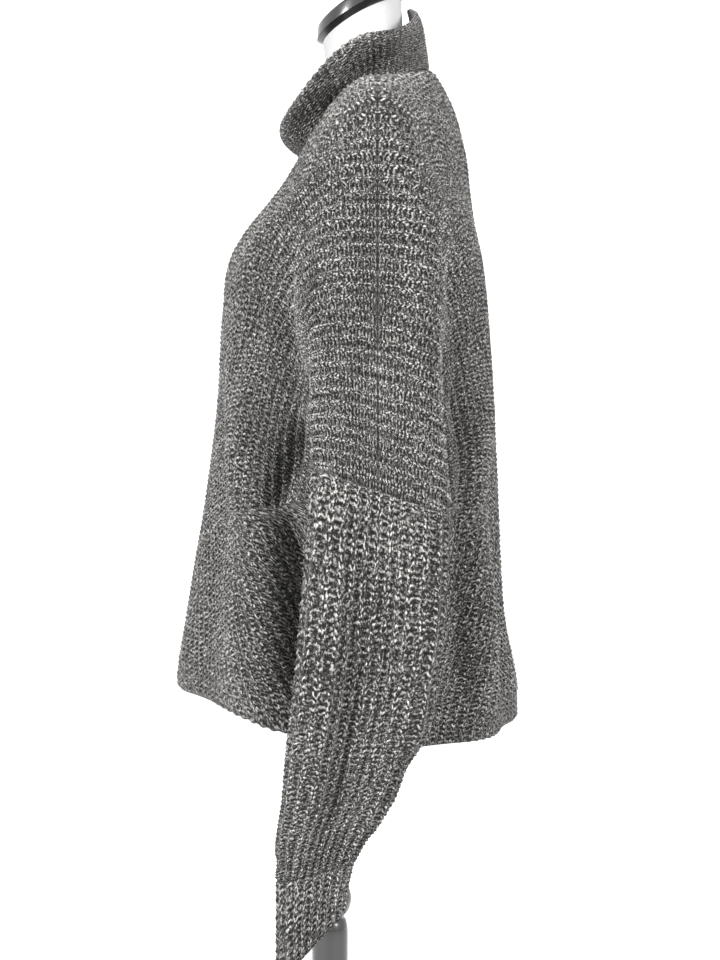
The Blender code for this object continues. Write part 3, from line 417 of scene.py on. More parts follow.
class Panel:
    """Maps a point of the flat front or back panel to its place on the draped body."""

    V_STEPS = 301
    LEVELS_PER_RING = 40

    def __init__(self, panel):
        self.panel = panel
        self.sign = -1 if panel == "front" else 1
        self.drop = "drop_" + panel
        self.underarm_y = self.ring_y(UNDERARM_X, ARMHOLE_RING)
        self.split = self.share(UNDERARM_X, self.underarm_y, ARMHOLE_RING)
        self.find_side_seam()
        self.upper = self.sections(NECK_RING, ARMHOLE_RING, self.upper_section)
        self.lower = self.sections(ARMHOLE_RING, HEM_RING, self.lower_section)

    # the cut
    def ring_y(self, x, level):
        reach = ring_value("reach", level)
        power = ring_value("power", level)
        return ring_value(self.drop, level) * np.maximum(1 - (x / reach) ** power, 0) ** (1 / power)

    def share(self, x, y, level):
        """0 at the centre line, 1 at the overarm line."""
        across = x / ring_value("reach", level)
        down = y / ring_value(self.drop, level)
        return np.arctan2(across, down) * 2 / math.pi

    def level_of(self, x, y):
        low = np.full(np.shape(x), NECK_RING)
        high = np.full(np.shape(x), HEM_RING)
        for _ in range(30):
            middle = (low + high) / 2
            power = ring_value("power", middle)
            outside = ((x / ring_value("reach", middle)) ** power
                       + (y / ring_value(self.drop, middle)) ** power) > 1
            low = np.where(outside, middle, low)
            high = np.where(outside, high, middle)
        return (low + high) / 2

    def find_side_seam(self):
        hem_y = self.ring_y(HEM_HALF_WIDTH, HEM_RING)
        s = np.linspace(0, 1, SEAM_STEPS)
        self.seam_x = UNDERARM_X + (HEM_HALF_WIDTH - UNDERARM_X) * s
        self.seam_y = self.underarm_y + (hem_y - self.underarm_y) * s
        self.seam_level = self.level_of(self.seam_x, self.seam_y)
        self.seam_level[0] = ARMHOLE_RING
        self.seam_level[-1] = HEM_RING
        self.seam_share = self.share(self.seam_x, self.seam_y, self.seam_level)

    # the drape
    def upper_section(self, level):
        depth = abs(ring_value(self.panel + "_y", level) - SEAM_Y)
        body = evenly(body_arc(level, depth), self.V_STEPS)
        arm = evenly(arm_arc(level, self.panel), self.V_STEPS)
        plain = quarter(ring_value("arm_x", level), depth, ring_value("square", level))
        u = np.linspace(0, 1, 2 * self.V_STEPS)
        parted_u = np.concatenate([np.linspace(0, self.split, self.V_STEPS),
                                   np.linspace(self.split, 1, self.V_STEPS)[1:]])
        parted_points = np.concatenate([body, arm[1:]])
        parted = np.stack([np.interp(u, parted_u, parted_points[:, k]) for k in range(2)], 1)
        plan = evenly(plain, len(u)) * (1 - ring_value("cleft", level)) + parted * ring_value("cleft", level)
        v = u / self.split
        return self.lift(plan, v, level)

    def lower_section(self, level):
        depth = abs(ring_value(self.panel + "_y", level) - SEAM_Y)
        plan = evenly(body_arc(level, depth), 2 * self.V_STEPS)
        return self.lift(plan, np.linspace(0, 1, 2 * self.V_STEPS), level)

    def lift(self, plan, v, level):
        centre_z = ring_value(self.panel + "_z", level)
        side_z = ring_value("arm_z", level)
        # near the neck a section rises all the way to the overarm line, lower down to the cleft
        reach = self.split + (1 - self.split) * ease(level - RISE_RING)
        z = centre_z + (side_z - centre_z) * ease(v * reach) ** ring_value("late", level)
        sides = []
        tilt = ARMHOLE_SLANT * ease((v - 1) / SLANT_WIDTH) * ease((level - SLANT_FIRST) / SLANT_GROWTH)
        tilt *= level <= ARMHOLE_RING
        for side in ("depth_left", "depth_right"):
            push = np.zeros(len(v))
            for fold in FOLDS:
                if fold.panel == self.panel:
                    push += self.fold_push(fold, side, v, level)
            valley = np.exp(-((v * self.split - 1) / OVERARM_VALLEY_WIDTH) ** 2)
            deep = ease((level - VALLEY_FIRST) / VALLEY_GROWTH) * (level <= ARMHOLE_RING)
            push -= OVERARM_VALLEY * valley * deep
            tangent = np.gradient(plan, axis=0)
            tangent /= np.linalg.norm(tangent, axis=1)[:, None] + 1e-12
            normal = np.stack([-tangent[:, 1], tangent[:, 0]], 1)
            moved = plan + normal * push[:, None]
            y = SEAM_Y + self.sign * moved[:, 1]
            sides.append(np.stack([moved[:, 0], y, z - tilt * (y - ARMHOLE_MIDDLE)], 1))
        return np.stack(sides)

    @staticmethod
    def fold_push(fold, side, v, level):
        along = (level - fold.first) / (HEM_RING - fold.first)
        centre = fold.v_top + (fold.v_bottom - fold.v_top) * ease(along)
        strength = ease((level - fold.first) / FOLD_GROWTH) * ease((fold.last - level) / FOLD_FADE)
        keep_edges = ease(v / FOLD_CENTRE_FADE) * ease((1 - v) / FOLD_SIDE_FADE)
        return getattr(fold, side) * strength * keep_edges * np.exp(-((v - centre) / fold.width) ** 2)

    def sections(self, first, last, section):
        count = int((last - first) * self.LEVELS_PER_RING) + 1
        return np.stack([section(level) for level in np.linspace(first, last, count)], 1)

    def place(self, x, y):
        """Draped place and outward normal of flat points, x being negative on the right side."""
        half = np.abs(x)
        level = self.level_of(half, y)
        share = self.share(half, y, level)
        end = np.interp(level, self.seam_level, self.seam_share)
        low = level > ARMHOLE_RING + 1e-6
        across = np.where(low, share / end, share)
        side = (x < 0).astype(int)
        step = 1e-3
        point = self.look_up(level, across, low, side)
        down = (self.look_up(level + step, across, low, side)
                - self.look_up(level - step, across, low, side))
        out = (self.look_up(level, across + step, low, side)
               - self.look_up(level, across - step, low, side))
        normal = unit(-self.sign * np.cross(down, out))
        mirror = np.where(x < 0, -1.0, 1.0)
        point[:, 0] *= mirror
        normal[:, 0] *= mirror
        return point, normal

    def look_up(self, level, across, low, side):
        result = np.empty(level.shape + (3,))
        for table, first, chosen in ((self.upper, NECK_RING, ~low), (self.lower, ARMHOLE_RING, low)):
            if not chosen.any():
                continue
            rows = table.shape[1] - 1
            columns = table.shape[2] - 1
            r = np.clip((level[chosen] - first) * self.LEVELS_PER_RING, 0, rows)
            c = np.clip(across[chosen] * columns, 0, columns)
            r0 = np.minimum(r.astype(int), rows - 1)
            c0 = np.minimum(c.astype(int), columns - 1)
            fr = (r - r0)[:, None]
            fc = (c - c0)[:, None]
            s = side[chosen]
            result[chosen] = ((table[s, r0, c0] * (1 - fc) + table[s, r0, c0 + 1] * fc) * (1 - fr)
                              + (table[s, r0 + 1, c0] * (1 - fc) + table[s, r0 + 1, c0 + 1] * fc) * fr)
        return result


# ---- mesh building ----
def add_object(name, data):
    obj = bpy.data.objects.new(name, data)
    bpy.context.scene.collection.objects.link(obj)
    return obj


def stand_for(obj, node):
    """Hangs a piece under the root and hides the solid that it replaces."""
    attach(obj, "root")
    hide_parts(node)


class Shell:
    """A wall of cloth: a fine outer grid, a plain inner grid and the rims between them."""

    def __init__(self):
        self.points = []
        self.uv = []
        self.height = []
        self.count = 0
        self.faces = []

    def add(self, points, u, v, height):
        first = self.count
        self.count += len(points)
        self.points.append(points)
        self.uv.append(np.stack([u, v], 1))
        self.height.append(np.broadcast_to(height, len(points)))
        return list(range(first, self.count))

    def strip(self, line_a, keys_a, line_b, keys_b):
        """Triangles between two lines of points whose keys rise together."""
        i = 0
        j = 0
        last_a = len(line_a) - 1
        last_b = len(line_b) - 1
        while i < last_a or j < last_b:
            if i < last_a and (j >= last_b or keys_a[i + 1] <= keys_b[j + 1] + 1e-9):
                self.faces.append((line_a[i], line_b[j], line_a[i + 1]))
                i += 1
            else:
                self.faces.append((line_a[i], line_b[j], line_b[j + 1]))
                j += 1

    def build(self, name, material):
        mesh = bpy.data.meshes.new(name)
        points = np.concatenate(self.points)
        mesh.from_pydata(points.tolist(), [], self.faces)
        work = bmesh.new()
        work.from_mesh(mesh)
        bmesh.ops.recalc_face_normals(work, faces=work.faces)
        if work.calc_volume(signed=True) < 0:
            bmesh.ops.reverse_faces(work, faces=work.faces)
        work.to_mesh(mesh)
        work.free()
        corners = np.empty(len(mesh.loops), np.int32)
        mesh.loops.foreach_get("vertex_index", corners)
        layer = mesh.uv_layers.new(name="knit")
        layer.data.foreach_set("uv", np.concatenate(self.uv)[corners].astype(np.float32).ravel())
        relief = mesh.attributes.new("relief", "FLOAT", "POINT")
        relief.data.foreach_set("value", np.concatenate(self.height).astype(np.float32))
        mesh.shade_smooth()
        mesh.materials.append(material)
        return add_object(name, mesh)


def flatten_to_slant(normal, slant):
    """Normals turned into the plane whose height rises by slant for each metre of Y."""
    axis = np.array([0, -slant, 1]) / math.hypot(slant, 1)
    return unit(normal - (normal @ axis)[:, None] * axis)


def tube_normals(loop_at, share, row, step=2e-3):
    """Outward normals of a surface whose loops run from the inside over the front."""
    around = loop_at(share + step, row) - loop_at(share - step, row)
    along = loop_at(share, min(row + step, 1)) - loop_at(share, max(row - step, 0))
    return unit(np.cross(along, around))


def sleeve_loop(rings, share, row):
    """Loop of the left sleeve: share 0 at the underarm, 1/4 front, 1/2 outside, 3/4 back."""
    level = row * (len(rings) - 1)
    value = {name: smooth([getattr(ring, name) for ring in rings], level)
             for name in SleeveRing._fields}
    angle = 2 * math.pi * np.asarray(share)
    middle_x = (value["inner"] + value["outer"]) / 2
    half_x = (value["outer"] - value["inner"]) / 2
    middle_y = (value["front"] + value["back"]) / 2
    half_y = (value["back"] - value["front"]) / 2
    cos = np.cos(angle)
    sin = np.sin(angle)
    x = middle_x - half_x * np.sign(cos) * np.abs(cos) ** SLEEVE_SQUARE_X
    y = middle_y - half_y * np.sign(sin) * np.abs(sin) ** SLEEVE_SQUARE_Y
    outside = np.exp(-((np.mod(share, 1) - 0.5) / VALLEY_WIDTH) ** 2)
    x = x - value["valley"] * outside
    z = value["z"] + value["slant"] * (y - middle_y)
    return np.stack([x, y, z], 1)


def evenly_spaced_loops(rings):
    """Sleeve loops with their points spread evenly along the loop's length."""
    cache = {}

    def loops(share, row):
        key = round(float(row), 6)
        if key not in cache:
            points = sleeve_loop(rings, np.arange(LOOP_STEPS + 1) / LOOP_STEPS, row)
            lengths = np.linalg.norm(np.diff(points, axis=0), axis=1)
            cache[key] = (points, np.concatenate([[0], np.cumsum(lengths)]) / lengths.sum())
        points, length = cache[key]
        wanted = np.mod(share, 1)
        return np.stack([np.interp(wanted, length, points[:, k]) for k in range(3)], 1)

    return loops


def neckline(share):
    """Neck edge of the panels: share 0 at the centre front, 1/4 left side, 1/2 back."""
    turn = np.mod(share, 1)
    half = np.minimum(turn, 1 - turn)
    u = np.where(half < 0.25, half, 0.5 - half) * 4
    place = np.empty((len(u), 3))
    for cloth, chosen in ((CLOTH["front"], half < 0.25), (CLOTH["back"], half >= 0.25)):
        edge = cloth.upper[0, 0]
        steps = np.linspace(0, 1, len(edge))
        for k in range(3):
            place[chosen, k] = np.interp(u[chosen], steps, edge[:, k])
    place[:, 0] *= np.where(turn > 0.5, -1, 1)
    return place


def collar_loop(share, row):
    """Loop of the collar at a row from its sewn edge, 0, to its rim, 1."""
    edge = neckline(share)
    radius = np.hypot(edge[:, 0], edge[:, 1] - SEAM_Y)
    station = 2 * np.minimum(np.mod(share, 1), 1 - np.mod(share, 1)) * (len(COLLAR_MERIDIANS) - 1)
    t = float(row)
    weights = ((1 - t) ** 3, 3 * t * (1 - t) ** 2, 3 * t * t * (1 - t), t ** 3)
    out = np.zeros(len(edge))
    up = np.zeros(len(edge))
    for weight, key in zip(weights, ("sewn", "low", "high", "rim")):
        out += weight * round_value([getattr(m, key + "_out") for m in COLLAR_MERIDIANS], station)
        up += weight * round_value([getattr(m, key + "_up") for m in COLLAR_MERIDIANS], station)
    moved = edge.copy()
    moved[:, 0] *= 1 + out / radius
    moved[:, 1] = SEAM_Y + (edge[:, 1] - SEAM_Y) * (1 + out / radius)
    moved[:, 2] += up
    return moved


# ---- knit relief ----
def knit_height(u, v, rng, wall, rib_share, roll):
    """Thickness of the wall and height of the rib, 0 to 1: u counts ribs and v counts courses."""
    crest = np.cos(2 * math.pi * u)
    rib = 0.5 + 0.5 * np.tanh(RIB_SQUARE * crest) / math.tanh(RIB_SQUARE)
    stitch = np.cos(2 * math.pi * (v + 0.5 * (crest < 0)))
    wander = rng.normal(0, WANDER, len(u))
    return (wall + RELIEF * rib_share * rib + STITCH * stitch + wander) * roll, rib


def edge_roll(distance, width, least):
    """Rounded fall of the wall towards an edge, from 1 to least."""
    share = np.clip(distance / width, 0, 1)
    return least + (1 - least) * np.sqrt(1 - (1 - share) ** 2)


def crease_push(panel, x, y):
    push = np.zeros(len(x))
    for crease in CREASES:
        if crease.panel != panel:
            continue
        run_x = crease.x_to - crease.x_from
        run_y = crease.y_to - crease.y_from
        length = math.hypot(run_x, run_y)
        along = ((x - crease.x_from) * run_x + (y - crease.y_from) * run_y) / length ** 2
        across = ((x - crease.x_from) * run_y - (y - crease.y_from) * run_x) / length
        fade = ease(along / CREASE_END + CREASE_START) * ease((1 - along) / CREASE_END + CREASE_START)
        push += crease.depth * fade * np.exp(-(across / crease.width) ** 2)
    return push


def dent_push(dents, share, row):
    push = np.zeros(len(share))
    for dent in dents:
        centre = dent.around + dent.lean * (row - dent.down)
        across = (np.mod(share - centre + 0.5, 1) - 0.5) / dent.wide
        push += dent.depth * np.exp(-across ** 2 - ((row - dent.down) / dent.long) ** 2)
    return push


# ---- front and back panels ----
class PanelGrid:
    """Rows and columns of one panel in its cut, two rows to a course and four columns to a rib."""

    def __init__(self, cloth):
        self.cloth = cloth
        self.hem = float(ring_value(cloth.drop, HEM_RING))
        self.count = 2 * round(self.hem / COURSE)
        self.step = self.hem / self.count
        self.neck_y = float(ring_value(cloth.drop, NECK_RING))
        self.neck_x = float(ring_value("reach", NECK_RING))
        self.neck_rows = math.ceil(self.neck_y / self.step)

    def end_x(self, y):
        """Half width of the cut at y: the armhole edge, then the side seam."""
        if y <= self.cloth.underarm_y:
            power = float(ring_value("power", ARMHOLE_RING))
            inside = (y / float(ring_value(self.cloth.drop, ARMHOLE_RING))) ** power
            return float(ring_value("reach", ARMHOLE_RING)) * (1 - inside) ** (1 / power)
        return float(np.interp(y, self.cloth.seam_y, self.cloth.seam_x))

    def row(self, j, pitch, offset):
        """Segments of x in row j: two beside the neck, one below it."""
        y = j * self.step
        end = self.end_x(y)
        start = 0.0
        if j < self.neck_rows:
            start = self.neck_x * math.sqrt(max(1 - (y / self.neck_y) ** 2, 0))
        first = math.ceil(start / pitch + offset + COLUMN_ROOM)
        last = math.floor(end / pitch + offset - COLUMN_ROOM)
        inner = (np.arange(first, last + 1) - offset) * pitch
        half = np.concatenate([[start], inner, [end]])
        if j < self.neck_rows:
            return [-half[::-1], half]
        return [np.concatenate([-half[:0:-1], half])]

    def flat_y(self, x, y):
        """The last rows bend to follow the hem."""
        hem = self.cloth.ring_y(np.minimum(np.abs(x), HEM_HALF_WIDTH), HEM_RING)
        return y - (self.hem - hem) * (y / self.hem) ** HEM_BEND

    def flat_area(self):
        width = [2 * self.end_x(y) for y in np.linspace(0, self.hem, MEASURE_STEPS)]
        neck = math.pi / 2 * self.neck_x * self.neck_y
        return float(np.mean(width)) * self.hem - neck


def outer_height(grid, y, u, v, from_side, from_neck, rng):
    """Thickness of a panel's wall and the relief of its ribs."""
    roll = edge_roll(from_side, SEAM_DIP, SEAM_LEAST) * edge_roll(y + OVERARM_START, SEAM_DIP, SEAM_LEAST)
    roll *= edge_roll(from_neck, EDGE_ROLL, NECK_LEAST) * edge_roll(grid.hem - y, EDGE_ROLL, HEM_LEAST)
    height, rib = knit_height(u, v, rng, WALL, 1.0, roll)
    band = ease((grid.hem - HEM_BAND - y) / HEM_CHANGE + 0.5)
    fine = np.cos(2 * math.pi * u * 2)
    height -= (1 - band) * (RELIEF * (HEM_LOSS * rib - HEM_GAIN * fine)) * roll
    return height, rib * roll


def inner_height(grid, y, u, from_side, from_neck):
    """How far the ribs draw the inside of a panel out, and the relief that it shows."""
    height = INSIDE_RELIEF * (0.5 + 0.5 * np.cos(2 * math.pi * u)) * ease(from_side / CREASE_FADE)
    for distance in (grid.hem - y, from_neck, y):
        height *= ease(distance / INSIDE_FADE)
    return height, np.full(len(u), INSIDE_SHADE)


def panel_layer(shell, grid, rows, pitch, rng=None):
    """Adds one wall of a panel, the outer one if rng is given.

    It gives for each row its segments of point numbers and x.
    """
    cloth = grid.cloth
    offset = 0.0 if rng is None else 0.5
    lines = [(j, x) for j in rows for x in grid.row(j, pitch, offset)]
    x = np.concatenate([line for _, line in lines])
    row = np.concatenate([np.full(len(line), j) for j, line in lines])
    y = grid.flat_y(x, row * grid.step)
    point, normal = cloth.place(x, y)
    ends = np.array([grid.end_x(j * grid.step) for j in range(grid.count + 1)])
    from_side = ends[row] - np.abs(x)
    above_underarm = ease((cloth.underarm_y + EDGE_TURN - y) / EDGE_TURN)
    near_edge = np.clip(1 - from_side / EDGE_TURN, 0, 1) * above_underarm
    normal = unit(normal + near_edge[:, None] * (flatten_to_slant(normal, -ARMHOLE_SLANT) - normal))
    meet_sleeve(lines, point, from_side)
    from_neck = (np.hypot(x / grid.neck_x, y / grid.neck_y) - 1) * min(grid.neck_x, grid.neck_y)
    u = x / RIB
    v = row / 2
    if rng is None:
        height, relief = inner_height(grid, y, u, from_side, from_neck)
    else:
        height, relief = outer_height(grid, y, u, v, from_side, from_neck, rng)
    height += crease_push(cloth.panel, x, y) * ease(from_side / CREASE_FADE)
    point = point + normal * height[:, None]
    limit = SEAM_Y + cloth.sign * SEAM_GAP / 2
    beyond = (point[:, 1] - limit) * cloth.sign < 0
    point[beyond, 1] = limit
    numbers = shell.add(point, u, v, relief)
    layer = {}
    start = 0
    for j, line in lines:
        layer.setdefault(j, []).append((numbers[start:start + len(line)], line.tolist()))
        start += len(line)
    return layer


def meet_sleeve(lines, point, from_side):
    """Draws the rows that end at the armhole onto the plane of the sleeve's top."""
    start = 0
    for _, line in lines:
        stop = start + len(line)
        for end in (start, stop - 1):
            if from_side[end] < 1e-9 and abs(line[end - start]) >= UNDERARM_X:
                height = SLEEVE_RINGS[0].z + SEAM_GAP
                wanted = height - ARMHOLE_SLANT * (point[end, 1] - ARMHOLE_MIDDLE)
                same_side = np.sign(line) == np.sign(line[end - start])
                reach = np.clip(1 - from_side[start:stop] / EDGE_TURN, 0, 1) * same_side
                point[start:stop, 2] += (wanted - point[end, 2]) * reach ** 2
        start = stop


def join_rows(shell, layer, rows, neck_rows):
    """Faces of one wall; the first row below the neck joins the two halves above it."""
    for a, b in zip(rows[:-1], rows[1:]):
        if a < neck_rows <= b:
            ids, x = layer[b][0]
            middle = x.index(0.0)
            halves = [(ids[:middle + 1], x[:middle + 1]), (ids[middle:], x[middle:])]
        else:
            halves = layer[b]
        for (ids_a, x_a), (ids_b, x_b) in zip(layer[a], halves):
            shell.strip(ids_a, x_a, ids_b, x_b)


def make_panel(panel, material):
    cloth = CLOTH[panel]
    grid = PanelGrid(cloth)
    shell = Shell()
    rng = np.random.default_rng(SEED + (panel == "back"))
    outer_rows = list(range(grid.count + 1))
    inner_rows = sorted(set(outer_rows[::INNER_ROWS]) | {grid.neck_rows, grid.count})
    outer = panel_layer(shell, grid, outer_rows, RIB / 4, rng)
    inner = panel_layer(shell, grid, inner_rows, RIB / 2)
    join_rows(shell, outer, outer_rows, grid.neck_rows)
    join_rows(shell, inner, inner_rows, grid.neck_rows)
    for j in (0, grid.count):
        for (ids_a, x_a), (ids_b, x_b) in zip(outer[j], inner[j]):
            shell.strip(ids_a, x_a, ids_b, x_b)
    for side in (0, -1):
        shell.strip([outer[j][side][0][side] for j in outer_rows], outer_rows,
                    [inner[j][side][0][side] for j in inner_rows], inner_rows)
    for part, end in ((0, -1), (1, 0)):
        lines = []
        for layer, rows in ((outer, outer_rows), (inner, inner_rows)):
            near = [j for j in rows if j < grid.neck_rows]
            ids, x = layer[grid.neck_rows][0]
            lines.append([layer[j][part][0][end] for j in near] + [ids[x.index(0.0)]])
            lines.append(near + [grid.neck_rows])
        shell.strip(*lines)
    obj = shell.build(panel + "_panel_knit", material)
    stand_for(obj, panel + "_panel")
    width = 2 * grid.end_x(0.0)
    grid.flat_area()


# ---- tubes: sleeves, cuffs and collar ----
def make_tube(node, tube, place, flip, material):
    """A ring wall of ribbed knit; place gives the points and normals of a row."""
    rng = np.random.default_rng(SEED + len(node) + 10 * tube.ribs)
    shell = Shell()
    columns = tube.ribs * tube.per_rib
    share = np.arange(columns) / columns
    u = share * tube.ribs
    drop = tube.courses * COURSE
    mirror = np.array([-1, 1, 1]) if flip else np.ones(3)
    outer = []
    inner = []
    before, _ = place(share, 0.0)
    for i, row in enumerate(np.linspace(0, 1, COURSE_ROWS * tube.courses + 1)):
        point, normal = place(share, row)
        before = point
        v = np.full(columns, i / COURSE_ROWS)
        roll = edge_roll(row * drop, EDGE_ROLL, tube.first_least)
        roll *= edge_roll((1 - row) * drop, EDGE_ROLL, tube.last_least)
        height, rib = knit_height(u, v, rng, tube.wall, tube.rib_share, roll)
        dent = dent_push(tube.dents, share, row) * ease(row / DENT_FADE) * ease((1 - row) / DENT_FADE)
        line = shell.add((point + normal * (height + dent)[:, None]) * mirror, u, v, rib * roll)
        outer.append(line + line[:1])
        if i % COURSE_ROWS == 0:
            inside = ((point + normal * dent[:, None]) * mirror)[::tube.per_rib]
            line = shell.add(inside, u[::tube.per_rib], v[::tube.per_rib], INSIDE_SHADE)
            inner.append(line + line[:1])
    keys = list(range(columns + 1))
    inner_keys = keys[::tube.per_rib]
    for lines, marks in ((outer, keys), (inner, inner_keys)):
        for a, b in zip(lines[:-1], lines[1:]):
            shell.strip(a, marks, b, marks)
    for row in (0, -1):
        shell.strip(outer[row], keys, inner[row], inner_keys)
    obj = shell.build(node + "_knit", material)
    stand_for(obj, node)
    around = float(np.mean([loop_length(place, row) for row in (0.0, 0.5, 1.0)]))


def loop_length(place, row):
    point, _ = place(np.arange(MEASURE_STEPS) / MEASURE_STEPS, row)
    return float(np.linalg.norm(point - np.roll(point, 1, axis=0), axis=1).sum())


def sleeve_place(rings):
    loops = evenly_spaced_loops(rings)

    def place(share, row):
        normal = tube_normals(loops, share, row)
        if row in (0.0, 1.0):
            normal = flatten_to_slant(normal, rings[int(row) * (len(rings) - 1)].slant)
        return loops(share, row), normal

    return place


def collar_place(share, row):
    return collar_loop(share, row), -tube_normals(collar_loop, share, row)


# ---- dress form and stand ----
def form_value(name, z):
    return smooth([getattr(ring, name) for ring in FORM_RINGS],
                  np.interp(z, [ring.z for ring in FORM_RINGS], range(len(FORM_RINGS))))


def form_loop(z, swell=0.0):
    angle = np.arange(FINE_SEGMENTS) * 2 * math.pi / FINE_SEGMENTS
    front = form_value("front", z)
    back = form_value("back", z)
    middle = (front + back) / 2
    x = (form_value("half_width", z) + swell) * np.sin(angle)
    y = middle - ((back - front) / 2 + swell) * np.cos(angle)
    return np.stack([x, y, np.full(FINE_SEGMENTS, float(z))], 1)


def tilt_to_cut(points, height):
    """Lift a level loop onto the slanted cut of the neck, height above it."""
    centre = form_loop(NECK_CUT_Z).mean(0)
    lifted = points.copy()
    lifted[:, 2] = NECK_CUT_Z + height + (points[:, 1] - centre[1]) * math.tan(NECK_CUT_TILT)
    return lifted


def add_solid(name, loops, node, material):
    """A closed solid through loops of equal count, with flat ends."""
    count = len(loops[0])
    faces = []
    for k in range(len(loops) - 1):
        for i in range(count):
            j = (i + 1) % count
            faces.append((k * count + i, k * count + j, (k + 1) * count + j, (k + 1) * count + i))
    faces.append(tuple(range(count - 1, -1, -1)))
    faces.append(tuple(range((len(loops) - 1) * count, len(loops) * count)))
    mesh = bpy.data.meshes.new(name)
    mesh.from_pydata(np.concatenate(loops).tolist(), [], faces)
    mesh.shade_smooth()
    mesh.set_sharp_from_angle(angle=SHARP_ANGLE)
    mesh.materials.append(material)
    stand_for(add_object(name, mesh), node)


def make_form(material):
    bottom = FORM_RINGS[0].z
    loops = []
    for z in np.concatenate([bottom + FORM_ROUNDING * np.linspace(0, 1, 7), FORM_SIDE]):
        share = min((z - bottom) / FORM_ROUNDING, 1)
        swell = -FORM_ROUNDING * (1 - math.sqrt(1 - (1 - share) ** 2))
        loops.append(form_loop(z, swell))
    loops.append(tilt_to_cut(form_loop(NECK_CUT_Z), 0.0))
    add_solid("form_torso_jersey", loops, "form_torso", material)


def make_cap(material):
    loops = []
    rounding = np.linspace(0, math.pi / 2, 6)
    low = [(STAND_GAP + CAP_FOOT * math.sin(a), CAP_FLARE * math.sin(a)) for a in rounding]
    high = [(CAP_THICKNESS + CAP_CROWN * math.sin(a), CAP_FLARE * math.cos(a)) for a in rounding]
    for height, swell in low + high:
        loops.append(tilt_to_cut(form_loop(NECK_CUT_Z, swell), height))
    add_solid("neck_cap_lacquer", loops, "neck_cap", material)


def turned_loops(profile, per_step):
    """Loops of a turned solid; the profile gives radius and height, smoothed between its points."""
    steps = np.linspace(0, len(profile) - 1, per_step * (len(profile) - 1) + 1)
    radius = smooth([r for r, _ in profile], steps)
    height = smooth([z for _, z in profile], steps)
    angle = np.arange(FINE_SEGMENTS) * 2 * math.pi / FINE_SEGMENTS
    return [np.stack([r * np.cos(angle), r * np.sin(angle), np.full(FINE_SEGMENTS, z)], 1)
            for r, z in zip(radius, height)]


def make_stand(material):
    pole = turned_loops(POLE_POINTS, 5)
    add_solid("stand_pole_lacquer", pole, "stand_pole", material)
    base = [(BASE_RADIUS, 0.0)]
    base += [(BASE_RADIUS - BASE_EDGE * (1 - math.cos(a)), BASE_THICKNESS - BASE_EDGE * (1 - math.sin(a)))
             for a in np.linspace(0, math.pi / 2, 7)]
    add_solid("stand_base_lacquer", turned_loops(base, 1), "stand_base", material)


# ---- materials ----
class Nodes:
    """Short names for the parts of one material."""

    def __init__(self, name):
        self.material = bpy.data.materials.new(name)
        self.material.use_nodes = True
        self.tree = self.material.node_tree
        self.shader = self.tree.nodes["Principled BSDF"]

    def put(self, socket, value):
        if hasattr(value, "is_linked"):
            self.tree.links.new(value, socket)
        elif value is not None:
            socket.default_value = value

    def math(self, operation, a, b=None):
        node = self.tree.nodes.new("ShaderNodeMath")
        node.operation = operation
        for socket, value in zip(node.inputs, (a, b)):
            self.put(socket, value)
        return node.outputs[0]

    def add(self, a, b):
        return self.math("ADD", a, b)

    def mul(self, a, b):
        return self.math("MULTIPLY", a, b)

    def around_half(self, value, strength):
        """A swing about 0 from a value that swings about 0.5."""
        return self.mul(self.math("SUBTRACT", value, 0.5), strength)

    def blend(self, low, high, share):
        return self.add(self.mul(high, share), self.mul(low, self.math("SUBTRACT", 1.0, share)))

    def wave(self, turns):
        return self.math("COSINE", self.mul(turns, 2 * math.pi))

    def place(self):
        return self.tree.nodes.new("ShaderNodeTexCoord").outputs["Object"]

    def split(self, vector):
        node = self.tree.nodes.new("ShaderNodeSeparateXYZ")
        self.put(node.inputs[0], vector)
        return tuple(node.outputs)

    def vector(self, x, y, z=0.0):
        node = self.tree.nodes.new("ShaderNodeCombineXYZ")
        for socket, value in zip(node.inputs, (x, y, z)):
            self.put(socket, value)
        return node.outputs[0]

    def noise(self, vector, scale, detail, roughness):
        node = self.tree.nodes.new("ShaderNodeTexNoise")
        self.put(node.inputs["Vector"], vector)
        self.put(node.inputs["Scale"], scale)
        self.put(node.inputs["Detail"], detail)
        self.put(node.inputs["Roughness"], roughness)
        return node.outputs["Fac"]

    def level(self, value, low, high, out_low=0.0, out_high=1.0):
        node = self.tree.nodes.new("ShaderNodeMapRange")
        node.interpolation_type = "SMOOTHSTEP"
        for socket, number in zip(node.inputs, (value, low, high, out_low, out_high)):
            self.put(socket, number)
        return node.outputs[0]

    def ramp(self, value, stops):
        node = self.tree.nodes.new("ShaderNodeValToRGB")
        elements = node.color_ramp.elements
        while len(elements) < len(stops):
            elements.new(0.5)
        for element, (place, grey, warm) in zip(elements, stops):
            element.position = place
            element.color = (grey * warm, grey, grey / warm, 1.0)
        self.put(node.inputs[0], value)
        return node.outputs[0]

    def tint(self, colour, factor):
        """The colour darkened or lightened by a grey factor."""
        node = self.tree.nodes.new("ShaderNodeMix")
        node.data_type = "RGBA"
        node.blend_type = "MULTIPLY"
        node.inputs["Factor"].default_value = 1.0
        colour_a, colour_b = node.inputs[6:8]
        self.put(colour_a, colour)
        self.put(colour_b, self.vector(factor, factor, factor))
        return node.outputs[2]

    def bump(self, height, distance, strength):
        node = self.tree.nodes.new("ShaderNodeBump")
        node.inputs["Distance"].default_value = distance
        node.inputs["Strength"].default_value = strength
        self.put(node.inputs["Height"], height)
        self.put(self.shader.inputs["Normal"], node.outputs[0])


